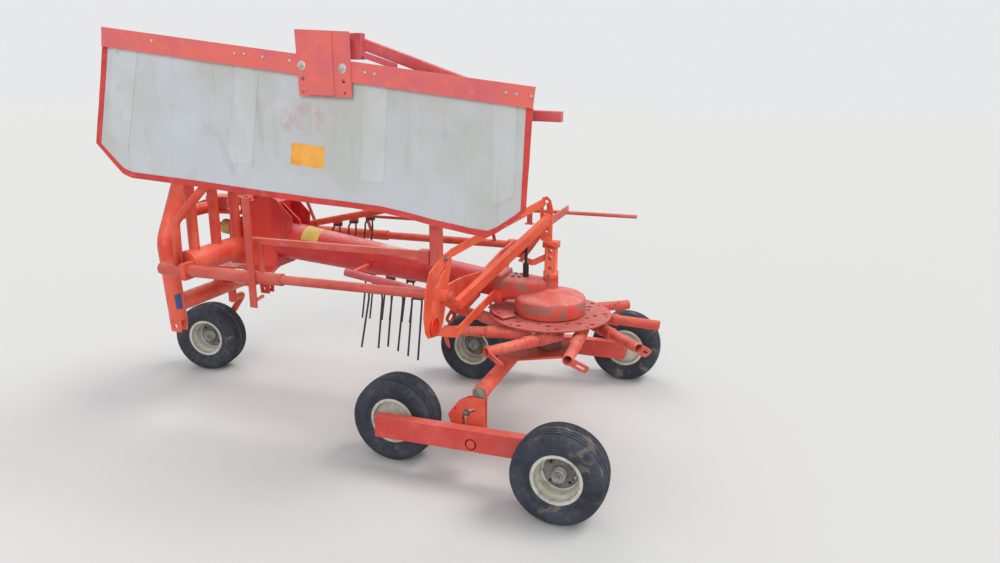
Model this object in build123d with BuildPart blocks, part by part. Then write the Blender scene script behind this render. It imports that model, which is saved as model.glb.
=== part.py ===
from build123d import *
import math
import os

# Rotary rake with nine arm sockets, three stored tine arms and a folding swath curtain, in millimetres

os.makedirs("parts", exist_ok=True)

# Layout. x runs forward from the tandem axle, y to the left, z up from the ground
tandem_x = -778.1
steer_deg = 6.3

# Wheels
tyre_r = 205.0
tyre_half = 84.0
bead_r = 102.0
bead_half = 58.0
flange_r = 111.0
flange_half = 64.0
barrel_r = 97.0
disc_in = -20.0
disc_out = -14.0
hub_r = 30.0
hub_back = -50.0
hub_front = 30.0
cap_r = 24.0
cap_front = 44.0
spindle_r = 12.5
running_gap = 0.05
spindle_tip = 28.0
collar_r = 20.0
collar_gap = 6.0
wheel_z = tyre_r
front_wheel_x = 435.0
rear_wheel_x = -435.0
front_wheel_y = 536.0
rear_wheel_y = 823.0

# Tandem beams and their brackets
beam_y = 680.0
beam_half = 27.5
beam_front = 470.0
beam_back = -450.0
beam_bottom = 170.0
beam_top = 270.0
pivot_z = 205.0
pivot_r = 20.0
pivot_boss_r = 36.0
pivot_out = 709.0
pivot_recess_r = 27.0
pivot_recess = 14.0
boss_r = 27.0
boss_t = 4.0
bracket_in = 560.0
bracket_out = 590.0
bracket_t = 10.0
bracket_outline = [
    (-28, 378), (-26, 165), (30, 150), (100, 190), (126, 216), (151, 283), (106, 345), (62, 370), (20, 380),
]
bracket_slot = [(25, 318), (58, 306), (74, 272), (70, 232)]
bracket_holes = [(113, 317), (129, 261)]
slot_half = 9.0
bracket_hole_r = 6.0

# Axle
axle_z = 400.0
axle_r = 35.0
axle_half = 590.0
axle_plate_bottom = 425.0
axle_plate_top = 437.0
axle_plate_front = 40.0
axle_plate_half = 260.0
axle_plate_tail = 70.0
axle_plate_back = -320.0

# Rotor
rotor_x = -166.0
disc_bottom = 619.0
disc_top = 627.0
disc_r = 307.0
shaft_r = 30.0
rotor_hub_r = 117.0
rotor_hub_bottom = 545.0
neck_r = 60.0
neck_bottom = 445.0
stub_z = 574.0
stub_tip = 546.0
stub_r = 25.0
stub_bore_r = 20.0
stub_bore_deep = 120.0
sleeve_r = 30.0
sleeve_tip = 330.0
stub_root = 90.0
stub_first_deg = 73.03
stub_count = 9
clamp_block = 40.0
clamp_at = 285.0
rim_hole_r = 8.0
rim_hole_at = 285.0
rim_hole_half_deg = 10.0
tab_reach = 92.0
tab_wide = 42.0
tab_thick = 6.0
tab_at = 538.5
tab_tilt_deg = 35.0
tab_slot = (42.0, 82.0)
tab_slot_wide = 14.0

# Gear casing
drum_r = 178.0
drum_bottom = 633.0
drum_top = 720.0
case_top = 800.0
case_front = 60.0
case_back = -330.0
case_half = 92.0
face_x = 110.0
face_half = 88.0
face_bottom = 672.0
face_top = 822.0

# Mast
mast_x = -166.0
mast_sleeve_r = 38.0
mast_sleeve_top = 840.0
mast_r = 24.0
mast_top = 963.0
mast_head_top = 993.0
mast_head_half = 38.0
mast_plate_t = 12.0
mast_plate = [
    (-168, 993), (-112, 993), (-106, 1150), (-108, 1190), (-118, 1208), (-140, 1213), (-158, 1195), (-170, 1148),
]
# Hole places in the mast plate: x, z and radius
mast_plate_holes = [(-138, 1188, 9.0), (-131, 1134, 9.0), (-131, 1166, 9.0), (-138, 1095, 6.0), (-140, 1040, 6.0)]
mast_window = (-131.0, 1134.0, 1166.0, 18.0)
mast_hole_z = [868.0, 893.0, 918.0, 943.0]
mast_hole_r = 6.0

# Boom
boom_back_x = 110.0
boom_front_x = 1375.0
boom_back_z = 751.0
boom_front_z = 900.0
boom_back_r = 65.0
boom_front_r = 103.5
box_back = 1362.0
box_front = 1665.0
box_half = 85.0
box_bottom = 755.0
box_top = 1135.0
box_nose = 1440.0
box_nose_drop = 25.0
box_step = 1530.0
box_step_top = 1106.0
box_low_top = 1000.0
cheek_t = 6.0
cheek_outline = [
    (1503, 1110), (1468, 1133), (1390, 1154), (1342, 1129), (1250, 1037), (1255, 970), (1362, 880), (1530, 880),
]

# Rack beam and posts
rack_x = 1600.0
rack_z = 855.0
rack_r = 62.5
rack_half = 520.0
post_half = 25.0
post_top = 1270.0
post_rows = [450.0, 280.0, 110.0]

# Headstock
swivel_x = rack_x
swivel_pin_r = 12.5
swivel_lug_r = 34.0
swivel_gap = 5.0
ear_t = 10.0
upper_lug = (1040.0, 1105.0)
lower_lug = (625.0, 705.0)
stock_x = 1812.0
leg_y = 400.0
leg_r = 45.0
leg_bottom = 505.0
leg_knee_z = 930.0
leg_top = (stock_x + 28, 100.0, 1450.0)
leg_knee_x = stock_x + 13
cap_drop = 30.0
cross_z = 585.0
cross_r = 47.5
upper_cross_z = 1060.0
upper_cross_r = 33.0
upper_cross_half = 325.0
lower_cross_half = 372.0
lower_pin_x = stock_x - 17
lower_pin_z = 470.0
lower_pin_r = 11.2
clevis_half = 28.0
clevis_t = 10.0
clevis_outline = [
    (lower_pin_x - 30, 440), (lower_pin_x + 30, 440), (lower_pin_x + 38, 520),
    (lower_pin_x + 28, 560), (lower_pin_x - 26, 560), (lower_pin_x - 36, 520),
]
leg_bend = 150.0
knuckle_back = stock_x - 42
knuckle_half = 50.0
ear_outline = [
    (swivel_x - 22, -26), (swivel_x, -36), (stock_x, -60), (stock_x, 60), (swivel_x, 36), (swivel_x - 22, 26),
]
link_ear_y = 30.0
link_ear_t = 10.0
link_ear_outline = [
    (stock_x, upper_cross_z - 30), (stock_x + 48, upper_cross_z - 25), (stock_x + 96, upper_cross_z - 12),
    (stock_x + 96, upper_cross_z + 16), (stock_x + 48, upper_cross_z + 35), (stock_x, upper_cross_z + 40),
]
top_pin_x = stock_x + 73
top_pin_r = 9.7
top_pin_half = 42.0

# Caster
stem_x = 1883.0
stem_y = -168.8
stem_r = 16.0
stem_sleeve_r = 28.0
stem_sleeve_bottom = 530.0
stem_sleeve_top = 680.0
stem_top = 700.0
stem_bottom = 440.0
caster_lead = 171.0
caster_arm_y = -122.0
caster_arm_r = 20.0

# Input shaft, along the boom's axis
input_slope = 0.118
input_z0 = 900.0
input_x0 = 1375.0
input_r = 17.5
input_seat_r = 22.0
input_guard_r = 42.0
input_tip = 1805.0

# Left guard
hinge_y = 560.0
hinge_z = 832.0
hinge_front = 1722.0
hinge_mid = 1010.0
hinge_back = 132.0
hinge_big_r = 30.0
hinge_small_r = 22.5


def at(point):
    """Move a layout point into the part frame."""
    return (point[0] + tandem_x, point[1], point[2])


def rod(start, end, radius):
    """Round bar between two layout points."""
    run = Vector(*end) - Vector(*start)
    with BuildPart(mode=Mode.PRIVATE) as piece:
        with BuildSketch(Plane(origin=at(start), z_dir=run)):
            Circle(radius)
        extrude(amount=run.length)
    return piece.part


def bent(points, bend, radius):
    """Round bar along layout points, its corners bent to one radius."""
    first = Vector(*points[1]) - Vector(*points[0])
    with BuildPart(mode=Mode.PRIVATE) as piece:
        with BuildLine() as path:
            FilletPolyline(*[at(p) for p in points], radius=bend)
        with BuildSketch(Plane(origin=at(points[0]), z_dir=first)):
            Circle(radius)
        sweep(path=path.line)
    return piece.part


def flat(start, end, wide, thick, side):
    """Flat bar between two layout points, its width along side."""
    run = Vector(*end) - Vector(*start)
    across = Vector(*side) - run * (Vector(*side).dot(run) / run.dot(run))
    with BuildPart(mode=Mode.PRIVATE) as piece:
        with BuildSketch(Plane(origin=at(start), x_dir=across, z_dir=run)):
            Rectangle(wide, thick)
        extrude(amount=run.length)
    return piece.part


def block(low, high):
    """Box between two layout corners."""
    wide = high[0] - low[0]
    deep = high[1] - low[1]
    middle = ((low[0] + high[0]) / 2, (low[1] + high[1]) / 2, low[2])
    with BuildPart(mode=Mode.PRIVATE) as piece:
        with BuildSketch(Plane(origin=at(middle))):
            Rectangle(wide, deep)
        extrude(amount=high[2] - low[2])
    return piece.part


def plate_yz(outline, x, thick):
    """Plate across x with a (y, z) outline, from x forward."""
    with BuildPart(mode=Mode.PRIVATE) as piece:
        with BuildSketch(Plane(origin=at((x, 0, 0)), x_dir=(0, 1, 0), z_dir=(1, 0, 0))):
            with BuildLine():
                Polyline(*outline, close=True)
            make_face()
        extrude(amount=thick)
    return piece.part


def plate_xz(outline, y, thick):
    """Plate across y with an (x, z) outline, from y to the left."""
    with BuildPart(mode=Mode.PRIVATE) as piece:
        with BuildSketch(Plane(origin=at((0, y + thick, 0)), x_dir=(1, 0, 0), z_dir=(0, -1, 0))):
            with BuildLine():
                Polyline(*outline, close=True)
            make_face()
        extrude(amount=thick)
    return piece.part


def plate_xy(outline, z, thick):
    """Plate across z with an (x, y) outline, from z up."""
    with BuildPart(mode=Mode.PRIVATE) as piece:
        with BuildSketch(Plane(origin=at((0, 0, z)))):
            with BuildLine():
                Polyline(*outline, close=True)
            make_face()
        extrude(amount=thick)
    return piece.part


def turned(centre, along, profile):
    """Solid of revolution through a layout point from (along, radius) points."""
    lean = (0, 1, 0) if abs(along[2]) > 0.9 else tuple(Vector(*along).cross(Vector(0, 0, 1)))
    with BuildPart(mode=Mode.PRIVATE) as piece:
        with BuildSketch(Plane(origin=at(centre), x_dir=along, z_dir=lean)):
            with BuildLine():
                Polyline(*profile, close=True)
            make_face()
        revolve(axis=Axis(at(centre), along))
    return piece.part


tyre_profile = [
    (-bead_half, bead_r), (-bead_half, flange_r), (-68, 116), (-82, 138), (-tyre_half, 165),
    (-78, 188), (-62, 200), (-28, tyre_r), (28, tyre_r), (62, 200), (78, 188),
    (tyre_half, 165), (82, 138), (68, 116), (bead_half, flange_r), (bead_half, bead_r),
]
rim_profile = [
    (-flange_half, barrel_r), (-flange_half, flange_r), (-bead_half, flange_r), (-bead_half, bead_r),
    (bead_half, bead_r), (bead_half, flange_r), (flange_half, flange_r), (flange_half, barrel_r),
    (disc_out, barrel_r), (disc_out, hub_r), (hub_front, hub_r), (cap_front - 6, cap_r),
    (cap_front, cap_r - 8), (cap_front, 0), (hub_front + 4, 0), (hub_front + 4, spindle_r + running_gap),
    (hub_back, spindle_r + running_gap), (hub_back, hub_r), (disc_in, hub_r), (disc_in, barrel_r),
]

caster_cos = math.cos(math.radians(steer_deg))
caster_sin = math.sin(math.radians(steer_deg))


def cast(ahead, left, z):
    """Point given ahead and left of the caster stem, turned with the caster."""
    return (
        stem_x + ahead * caster_cos - left * caster_sin,
        stem_y + ahead * caster_sin + left * caster_cos,
        z,
    )


# Name, wheel centre and the direction its dish opens
wheel_rows = [
    ("front_left", (front_wheel_x, front_wheel_y, wheel_z), (0, -1, 0)),
    ("rear_left", (rear_wheel_x, rear_wheel_y, wheel_z), (0, 1, 0)),
    ("front_right", (front_wheel_x, -front_wheel_y, wheel_z), (0, 1, 0)),
    ("rear_right", (rear_wheel_x, -rear_wheel_y, wheel_z), (0, -1, 0)),
    ("gauge", cast(caster_lead, 0, wheel_z), (-caster_sin, caster_cos, 0)),
]
for wheel_name, wheel_at, dish in wheel_rows:
    with BuildPart() as tyre:
        add(turned(wheel_at, dish, tyre_profile))
    tyre.part.label = "tyre_" + wheel_name
    export_step(tyre.part, "parts/tyre_" + wheel_name + ".step")
    with BuildPart() as rim:
        add(turned(wheel_at, dish, rim_profile))
    rim.part.label = "rim_" + wheel_name
    export_step(rim.part, "parts/rim_" + wheel_name + ".step")

# Tandem beams with their wheel spindles
for side_name, s in (("left", 1), ("right", -1)):
    front_in = s * (front_wheel_y - spindle_tip)
    rear_out = s * (rear_wheel_y + spindle_tip)
    pivot_in = s * (beam_y - beam_half)
    pivot_end = s * (beam_y + beam_half)
    with BuildPart() as beam:
        add(block(
            (beam_back, s * beam_y - beam_half, beam_bottom),
            (beam_front, s * beam_y + beam_half, beam_top),
        ))
        add(rod((front_wheel_x, pivot_in, wheel_z), (front_wheel_x, front_in, wheel_z), spindle_r))
        add(rod(
            (front_wheel_x, pivot_in, wheel_z),
            (front_wheel_x, s * (front_wheel_y - hub_back + collar_gap), wheel_z),
            collar_r,
        ))
        add(rod((rear_wheel_x, pivot_end, wheel_z), (rear_wheel_x, rear_out, wheel_z), spindle_r))
        add(rod(
            (rear_wheel_x, pivot_end, wheel_z),
            (rear_wheel_x, s * (rear_wheel_y + hub_back - collar_gap), wheel_z),
            collar_r,
        ))
        add(rod((front_wheel_x, pivot_end, wheel_z), (front_wheel_x, pivot_end + s * boss_t, wheel_z), boss_r))
        add(rod((rear_wheel_x, pivot_in, wheel_z), (rear_wheel_x, pivot_in - s * boss_t, wheel_z), boss_r))
        add(
            rod((0, pivot_in - s, pivot_z), (0, pivot_end + s, pivot_z), pivot_r + running_gap),
            mode=Mode.SUBTRACT,
        )
        add(
            rod((0, pivot_end - s * pivot_recess, pivot_z), (0, pivot_end + s, pivot_z), pivot_recess_r),
            mode=Mode.SUBTRACT,
        )
    beam.part.label = "tandem_beam_" + side_name
    export_step(beam.part, "parts/tandem_beam_" + side_name + ".step")

bracket_parts = []
for s in (1, -1):
    pivot_start = s * bracket_in
    with BuildPart() as bracket:
        for plate_y in (bracket_in, bracket_out):
            low = plate_y if s > 0 else -plate_y - bracket_t
            add(plate_xz(bracket_outline, low, bracket_t))
        add(rod((0, pivot_start, pivot_z), (0, s * pivot_out, pivot_z), pivot_r))
        add(rod((0, pivot_start, pivot_z), (0, s * (beam_y - beam_half - collar_gap), pivot_z), pivot_boss_r))
        hole_rows = [(x, z, slot_half) for x, z in bracket_slot] + [(x, z, bracket_hole_r) for x, z in bracket_holes]
        for hole_x, hole_z, hole_r in hole_rows:
            add(
                rod((hole_x, s * (bracket_in - 5), hole_z), (hole_x, s * (bracket_out + 15), hole_z), hole_r),
                mode=Mode.SUBTRACT,
            )
        for first, second in zip(bracket_slot, bracket_slot[1:]):
            add(
                flat(
                    (first[0], s * (bracket_in + bracket_out + bracket_t) / 2, first[1]),
                    (second[0], s * (bracket_in + bracket_out + bracket_t) / 2, second[1]),
                    bracket_out - bracket_in + 4 * bracket_t,
                    2 * slot_half,
                    (0, 1, 0),
                ),
                mode=Mode.SUBTRACT,
            )
        add(
            rod((0, s * (bracket_in - 5), axle_z), (0, s * axle_half, axle_z), axle_r),
            mode=Mode.SUBTRACT,
        )
    bracket_parts.append(bracket.part)
with BuildPart() as axle_brackets:
    for piece in bracket_parts:
        add(piece)
axle_brackets.part.label = "axle_brackets"
export_step(axle_brackets.part, "parts/axle_brackets.step")

# Axle tube and the plate that carries the rotor
axle_shape = rod((0, -axle_half, axle_z), (0, axle_half, axle_z), axle_r)
with BuildPart() as axle_tube:
    add(axle_shape)
axle_tube.part.label = "axle_tube"
export_step(axle_tube.part, "parts/axle_tube.step")

with BuildPart() as axle_plate:
    add(plate_xy(
        [
            (axle_plate_front, -axle_plate_half), (axle_plate_front, axle_plate_half),
            (axle_plate_back, axle_plate_tail), (axle_plate_back, -axle_plate_tail),
        ],
        axle_plate_bottom,
        axle_plate_top - axle_plate_bottom,
    ))
    add(axle_shape, mode=Mode.SUBTRACT)
axle_plate.part.label = "axle_plate"
export_step(axle_plate.part, "parts/axle_plate.step")

# Rotor shaft and gear casing
with BuildPart() as rotor_shaft:
    add(rod((rotor_x, 0, axle_plate_top), (rotor_x, 0, drum_bottom), shaft_r))
rotor_shaft.part.label = "rotor_shaft"
export_step(rotor_shaft.part, "parts/rotor_shaft.step")

with BuildPart() as drum:
    add(turned(
        (rotor_x, 0, 0),
        (0, 0, 1),
        [
            (drum_bottom, 0), (drum_bottom, drum_r), (drum_top - 22, drum_r), (drum_top - 6, drum_r - 10),
            (drum_top, drum_r - 28), (drum_top, 0),
        ],
    ))
drum.part.label = "gear_drum"
export_step(drum.part, "parts/gear_drum.step")

with BuildPart() as casing:
    add(turned(
        (rotor_x, 0, 0),
        (0, 0, 1),
        [(drum_top, 0), (drum_top, 132), (drum_top + 20, 122), (case_top - 20, 86), (case_top, 70), (case_top, 0)],
    ))
    add(block((rotor_x, -case_half, drum_top), (case_front, case_half, case_top)))
    add(block((case_front, -face_half, face_bottom), (face_x, face_half, face_top)))
casing.part.label = "gear_casing"
export_step(casing.part, "parts/gear_casing.step")

# Rotor disc, hub and arm sockets
with BuildPart() as rotor_disc:
    add(turned(
        (rotor_x, 0, 0),
        (0, 0, 1),
        [(disc_bottom, shaft_r + running_gap), (disc_bottom, disc_r), (disc_top, disc_r), (disc_top, shaft_r + running_gap)],
    ))
    for index in range(stub_count):
        for lean in (-rim_hole_half_deg, rim_hole_half_deg):
            turn = math.radians(stub_first_deg + index * 360 / stub_count + lean)
            hole_x = rotor_x + rim_hole_at * math.cos(turn)
            hole_y = rim_hole_at * math.sin(turn)
            add(
                rod((hole_x, hole_y, disc_bottom - 1), (hole_x, hole_y, disc_top + 1), rim_hole_r),
                mode=Mode.SUBTRACT,
            )
rotor_disc.part.label = "rotor_disc"
export_step(rotor_disc.part, "parts/rotor_disc.step")

with BuildPart() as rotor_hub:
    add(turned(
        (rotor_x, 0, 0),
        (0, 0, 1),
        [
            (neck_bottom, shaft_r + running_gap), (neck_bottom, neck_r), (rotor_hub_bottom, neck_r),
            (rotor_hub_bottom, rotor_hub_r), (disc_bottom, rotor_hub_r), (disc_bottom, shaft_r + running_gap),
        ],
    ))
rotor_hub.part.label = "rotor_hub"
export_step(rotor_hub.part, "parts/rotor_hub.step")

with BuildPart() as rotor_arms:
    for index in range(stub_count):
        turn = math.radians(stub_first_deg + index * 360 / stub_count)
        out = (math.cos(turn), math.sin(turn))
        side = (-out[1], out[0], 0)
        add(rod(
            (rotor_x + stub_root * out[0], stub_root * out[1], stub_z),
            (rotor_x + stub_tip * out[0], stub_tip * out[1], stub_z),
            stub_r,
        ))
        add(rod(
            (rotor_x + stub_root * out[0], stub_root * out[1], stub_z),
            (rotor_x + sleeve_tip * out[0], sleeve_tip * out[1], stub_z),
            sleeve_r,
        ))
        add(flat(
            (rotor_x + (clamp_at - clamp_block / 2) * out[0], (clamp_at - clamp_block / 2) * out[1], 597),
            (rotor_x + (clamp_at + clamp_block / 2) * out[0], (clamp_at + clamp_block / 2) * out[1], 597),
            clamp_block,
            2 * (disc_bottom - 597),
            side,
        ))
        lean = math.radians(tab_tilt_deg)
        down = (side[0] * math.cos(lean), side[1] * math.cos(lean), -math.sin(lean))
        wide = (side[0] * math.sin(lean), side[1] * math.sin(lean), math.cos(lean))
        root = (rotor_x + tab_at * out[0], tab_at * out[1], stub_z)
        add(flat(root, tuple(root[i] + down[i] * tab_reach for i in range(3)), tab_wide, tab_thick, wide))
        add(
            flat(
                tuple(root[i] + down[i] * tab_slot[0] for i in range(3)),
                tuple(root[i] + down[i] * tab_slot[1] for i in range(3)),
                tab_slot_wide,
                tab_thick + 4,
                wide,
            ),
            mode=Mode.SUBTRACT,
        )
    for index in range(stub_count):
        turn = math.radians(stub_first_deg + index * 360 / stub_count)
        out = (math.cos(turn), math.sin(turn))
        add(
            rod(
                (rotor_x + (stub_tip - stub_bore_deep) * out[0], (stub_tip - stub_bore_deep) * out[1], stub_z),
                (rotor_x + (stub_tip + 5) * out[0], (stub_tip + 5) * out[1], stub_z),
                stub_bore_r,
            ),
            mode=Mode.SUBTRACT,
        )
    add(
        rod((rotor_x, 0, neck_bottom), (rotor_x, 0, disc_bottom), rotor_hub_r),
        mode=Mode.SUBTRACT,
    )
rotor_arms.part.label = "rotor_arms"
export_step(rotor_arms.part, "parts/rotor_arms.step")

# Mast
with BuildPart() as mast:
    add(rod((mast_x, 0, case_top), (mast_x, 0, mast_sleeve_top), mast_sleeve_r))
    add(rod((mast_x, 0, case_top), (mast_x, 0, mast_top), mast_r))
    add(block((mast_x - mast_head_half, -28, mast_top), (mast_x + mast_head_half, 28, mast_head_top)))
    add(plate_xz(mast_plate, -mast_plate_t / 2, mast_plate_t))
    for hole_x, hole_z, hole_r in mast_plate_holes:
        add(
            rod((hole_x, -mast_plate_t, hole_z), (hole_x, mast_plate_t, hole_z), hole_r),
            mode=Mode.SUBTRACT,
        )
    add(
        flat(
            (mast_window[0], 0, mast_window[1]), (mast_window[0], 0, mast_window[2]),
            mast_window[3], 2 * mast_plate_t, (1, 0, 0),
        ),
        mode=Mode.SUBTRACT,
    )
    for hole_z in mast_hole_z:
        add(
            rod((mast_x, -2 * mast_r, hole_z), (mast_x, 2 * mast_r, hole_z), mast_hole_r),
            mode=Mode.SUBTRACT,
        )
mast.part.label = "mast"
export_step(mast.part, "parts/mast.step")

eye_x = -36.0
eye_foot_top = 872.0
eye_foot_r = 15.0
eye_rod_r = 8.0
eye_z = 980.0
eye_r = 18.0
eye_half = 8.0
with BuildPart() as eye_rod:
    add(rod((eye_x, 0, case_top), (eye_x, 0, eye_foot_top), eye_foot_r))
    add(rod((eye_x, 0, eye_foot_top), (eye_x, 0, eye_z - eye_r + 4), eye_rod_r))
    add(rod((eye_x, -eye_half, eye_z), (eye_x, eye_half, eye_z), eye_r))
    add(rod((eye_x, -eye_half - 1, eye_z), (eye_x, eye_half + 1, eye_z), eye_r / 2), mode=Mode.SUBTRACT)
eye_rod.part.label = "eye_rod"
export_step(eye_rod.part, "parts/eye_rod.step")

# Stop plate over the front of the disc, and the link from the mast to the eye rod
stop_outline = [(147, 54), (118, -165), (85, -160), (40, -80), (-5, 0), (-5, 100), (-30, 150), (13, 214), (85, 150)]
stop_bottom = 634.0
stop_t = 6.0
stop_holes = [(96, -132), (118, 35), (62, 138)]
stop_hole_r = 10.0
with BuildPart() as stop_plate:
    add(plate_xy(stop_outline, stop_bottom, stop_t))
    for hole_x, hole_y in stop_holes:
        add(
            rod((hole_x, hole_y, stop_bottom - 1), (hole_x, hole_y, stop_bottom + stop_t + 1), stop_hole_r),
            mode=Mode.SUBTRACT,
        )
    add(drum.part, mode=Mode.SUBTRACT)
stop_plate.part.label = "stop_plate"
export_step(stop_plate.part, "parts/stop_plate.step")

link_bend = (-78.0, 18.0, 880.0)
link_end = (mast_x + 20, 0.0, 915.0)
link_high = 30.0
link_t = 5.0
with BuildPart() as mast_link:
    add(flat((eye_x - 4, 0, link_bend[2] + 4), link_bend, link_high, link_t, (0, 0, 1)))
    add(flat(link_bend, link_end, link_high, link_t, (0, 0, 1)))
    add(rod(
        (link_bend[0], link_bend[1], link_bend[2] - link_high / 2 + 1),
        (link_bend[0], link_bend[1], link_bend[2] + link_high / 2 - 1),
        link_t / 2,
    ))
    add(mast.part, mode=Mode.SUBTRACT)
    add(eye_rod.part, mode=Mode.SUBTRACT)
mast_link.part.label = "mast_link"
export_step(mast_link.part, "parts/mast_link.step")

# Boom with its front box
with BuildPart(mode=Mode.PRIVATE) as boom_tube:
    with BuildSketch(Plane(origin=at((boom_back_x, 0, boom_back_z)), z_dir=(1, 0, 0))):
        Circle(boom_back_r)
    with BuildSketch(Plane(origin=at((boom_front_x, 0, boom_front_z)), z_dir=(1, 0, 0))):
        Circle(boom_front_r)
    loft()
rack_shape = rod((rack_x, -rack_half, rack_z), (rack_x, rack_half, rack_z), rack_r)
upper_sleeve = rod((swivel_x, 0, upper_lug[0]), (swivel_x, 0, upper_lug[1]), swivel_lug_r)
lower_sleeve = rod((swivel_x, 0, lower_lug[0]), (swivel_x, 0, lower_lug[1]), swivel_lug_r)
input_axis = (1, 0, input_slope)
input_box_z = input_z0 + (box_front - input_x0) * input_slope
with BuildPart() as boom:
    add(boom_tube.part)
    add(plate_xz(
        [
            (box_back, box_bottom), (box_front, box_bottom), (box_front, box_low_top), (box_step, box_low_top),
            (box_step, box_step_top), (box_nose, box_top), (box_back, box_top - box_nose_drop),
        ],
        -box_half,
        2 * box_half,
    ))
    for cheek_y in (-box_half - cheek_t, box_half):
        add(plate_xz(cheek_outline, cheek_y, cheek_t))
    add(plate_xz([(1252, 940), (box_back, 940), (box_back, 1100), (1260, 1010)], -6, 12))
    add(block((box_step - 20, -swivel_lug_r, upper_lug[0]), (swivel_x, swivel_lug_r, upper_lug[1])))
    add(upper_sleeve)
    add(plate_xz(
        [(1400, box_bottom), (1560, box_bottom), (1575, lower_lug[1]), (swivel_x, lower_lug[1]),
         (swivel_x, lower_lug[0]), (1540, lower_lug[0])],
        -swivel_lug_r,
        2 * swivel_lug_r,
    ))
    add(lower_sleeve)
    for lug in (upper_lug, lower_lug):
        add(
            rod((swivel_x, 0, lug[0] - 1), (swivel_x, 0, lug[1] + 1), swivel_pin_r + running_gap),
            mode=Mode.SUBTRACT,
        )
    add(rack_shape, mode=Mode.SUBTRACT)
    add(
        rod(
            (box_front - 60, 0, input_box_z - 60 * input_slope),
            (box_front + 20, 0, input_box_z + 20 * input_slope),
            input_seat_r + running_gap,
        ),
        mode=Mode.SUBTRACT,
    )
boom.part.label = "boom"
export_step(boom.part, "parts/boom.step")

# Rack beam, its posts and the hinge bearings of the guards
with BuildPart() as rack_beam:
    add(rod((rack_x, -rack_half, rack_z), (rack_x, -box_half, rack_z), rack_r))
    add(rod((rack_x, box_half, rack_z), (rack_x, rack_half, rack_z), rack_r))
rack_beam.part.label = "rack_beam"
export_step(rack_beam.part, "parts/rack_beam.step")

with BuildPart() as rack_posts:
    for row in post_rows:
        for s in (-1, 1):
            add(block(
                (rack_x - post_half, s * row - post_half, rack_z),
                (rack_x + post_half, s * row + post_half, post_top),
            ))
    add(rack_shape, mode=Mode.SUBTRACT)
rack_posts.part.label = "rack_posts"
export_step(rack_posts.part, "parts/rack_posts.step")

bearing_back = 1545.0
bearing_front = 1575.0
bearing_half = 42.0
with BuildPart() as bearings:
    for s in (1, -1):
        low_y = min(s * 500, s * (hinge_y + bearing_half))
        high_y = max(s * 500, s * (hinge_y + bearing_half))
        add(block((bearing_back, low_y, hinge_z - bearing_half), (bearing_front, high_y, hinge_z + bearing_half)))
    add(rack_shape, mode=Mode.SUBTRACT)
    for s in (1, -1):
        add(
            rod(
                (bearing_back - 1, s * hinge_y, hinge_z),
                (bearing_front + 1, s * hinge_y, hinge_z),
                hinge_big_r + running_gap,
            ),
            mode=Mode.SUBTRACT,
        )
bearings.part.label = "guard_bearings"
export_step(bearings.part, "parts/guard_bearings.step")

# Headstock: two legs with clevises, lower and upper cross tubes with the swivel lugs, and a cap
leg_parts = []
for s in (1, -1):
    with BuildPart() as leg:
        add(bent(
            [
                (lower_pin_x, s * leg_y, leg_bottom), (leg_knee_x, s * leg_y, leg_knee_z),
                (leg_top[0], s * leg_top[1], leg_top[2]),
            ],
            leg_bend,
            leg_r,
        ))
        for ear in (-clevis_half, clevis_half - clevis_t):
            add(plate_xz(clevis_outline, s * leg_y + ear, clevis_t))
        add(
            rod(
                (lower_pin_x, s * leg_y - clevis_half - 5, lower_pin_z),
                (lower_pin_x, s * leg_y + clevis_half + 5, lower_pin_z),
                lower_pin_r,
            ),
            mode=Mode.SUBTRACT,
        )
    leg_parts.append(leg.part)
with BuildPart() as headstock_legs:
    for piece in leg_parts:
        add(piece)
headstock_legs.part.label = "headstock_legs"
export_step(headstock_legs.part, "parts/headstock_legs.step")

with BuildPart() as headstock_cap:
    add(block(
        (leg_top[0] - cap_drop, -leg_top[1], leg_top[2] - cap_drop),
        (leg_top[0] + cap_drop, leg_top[1], leg_top[2] + cap_drop),
    ))
    for piece in leg_parts:
        add(piece, mode=Mode.SUBTRACT)
cap_solid = headstock_cap.part.solids().sort_by(SortBy.VOLUME)[-1]
with BuildPart() as headstock_tie:
    add(cap_solid)
headstock_tie.part.label = "headstock_tie"
export_step(headstock_tie.part, "parts/headstock_tie.step")

with BuildPart() as swivel_pins:
    for lug in (upper_lug, lower_lug):
        low_z = lug[0] - swivel_gap - ear_t - 6
        high_z = lug[1] + swivel_gap + ear_t + 6
        add(rod((swivel_x, 0, low_z), (swivel_x, 0, high_z), swivel_pin_r))
swivel_pins.part.label = "swivel_pins"
export_step(swivel_pins.part, "parts/swivel_pins.step")

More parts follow.
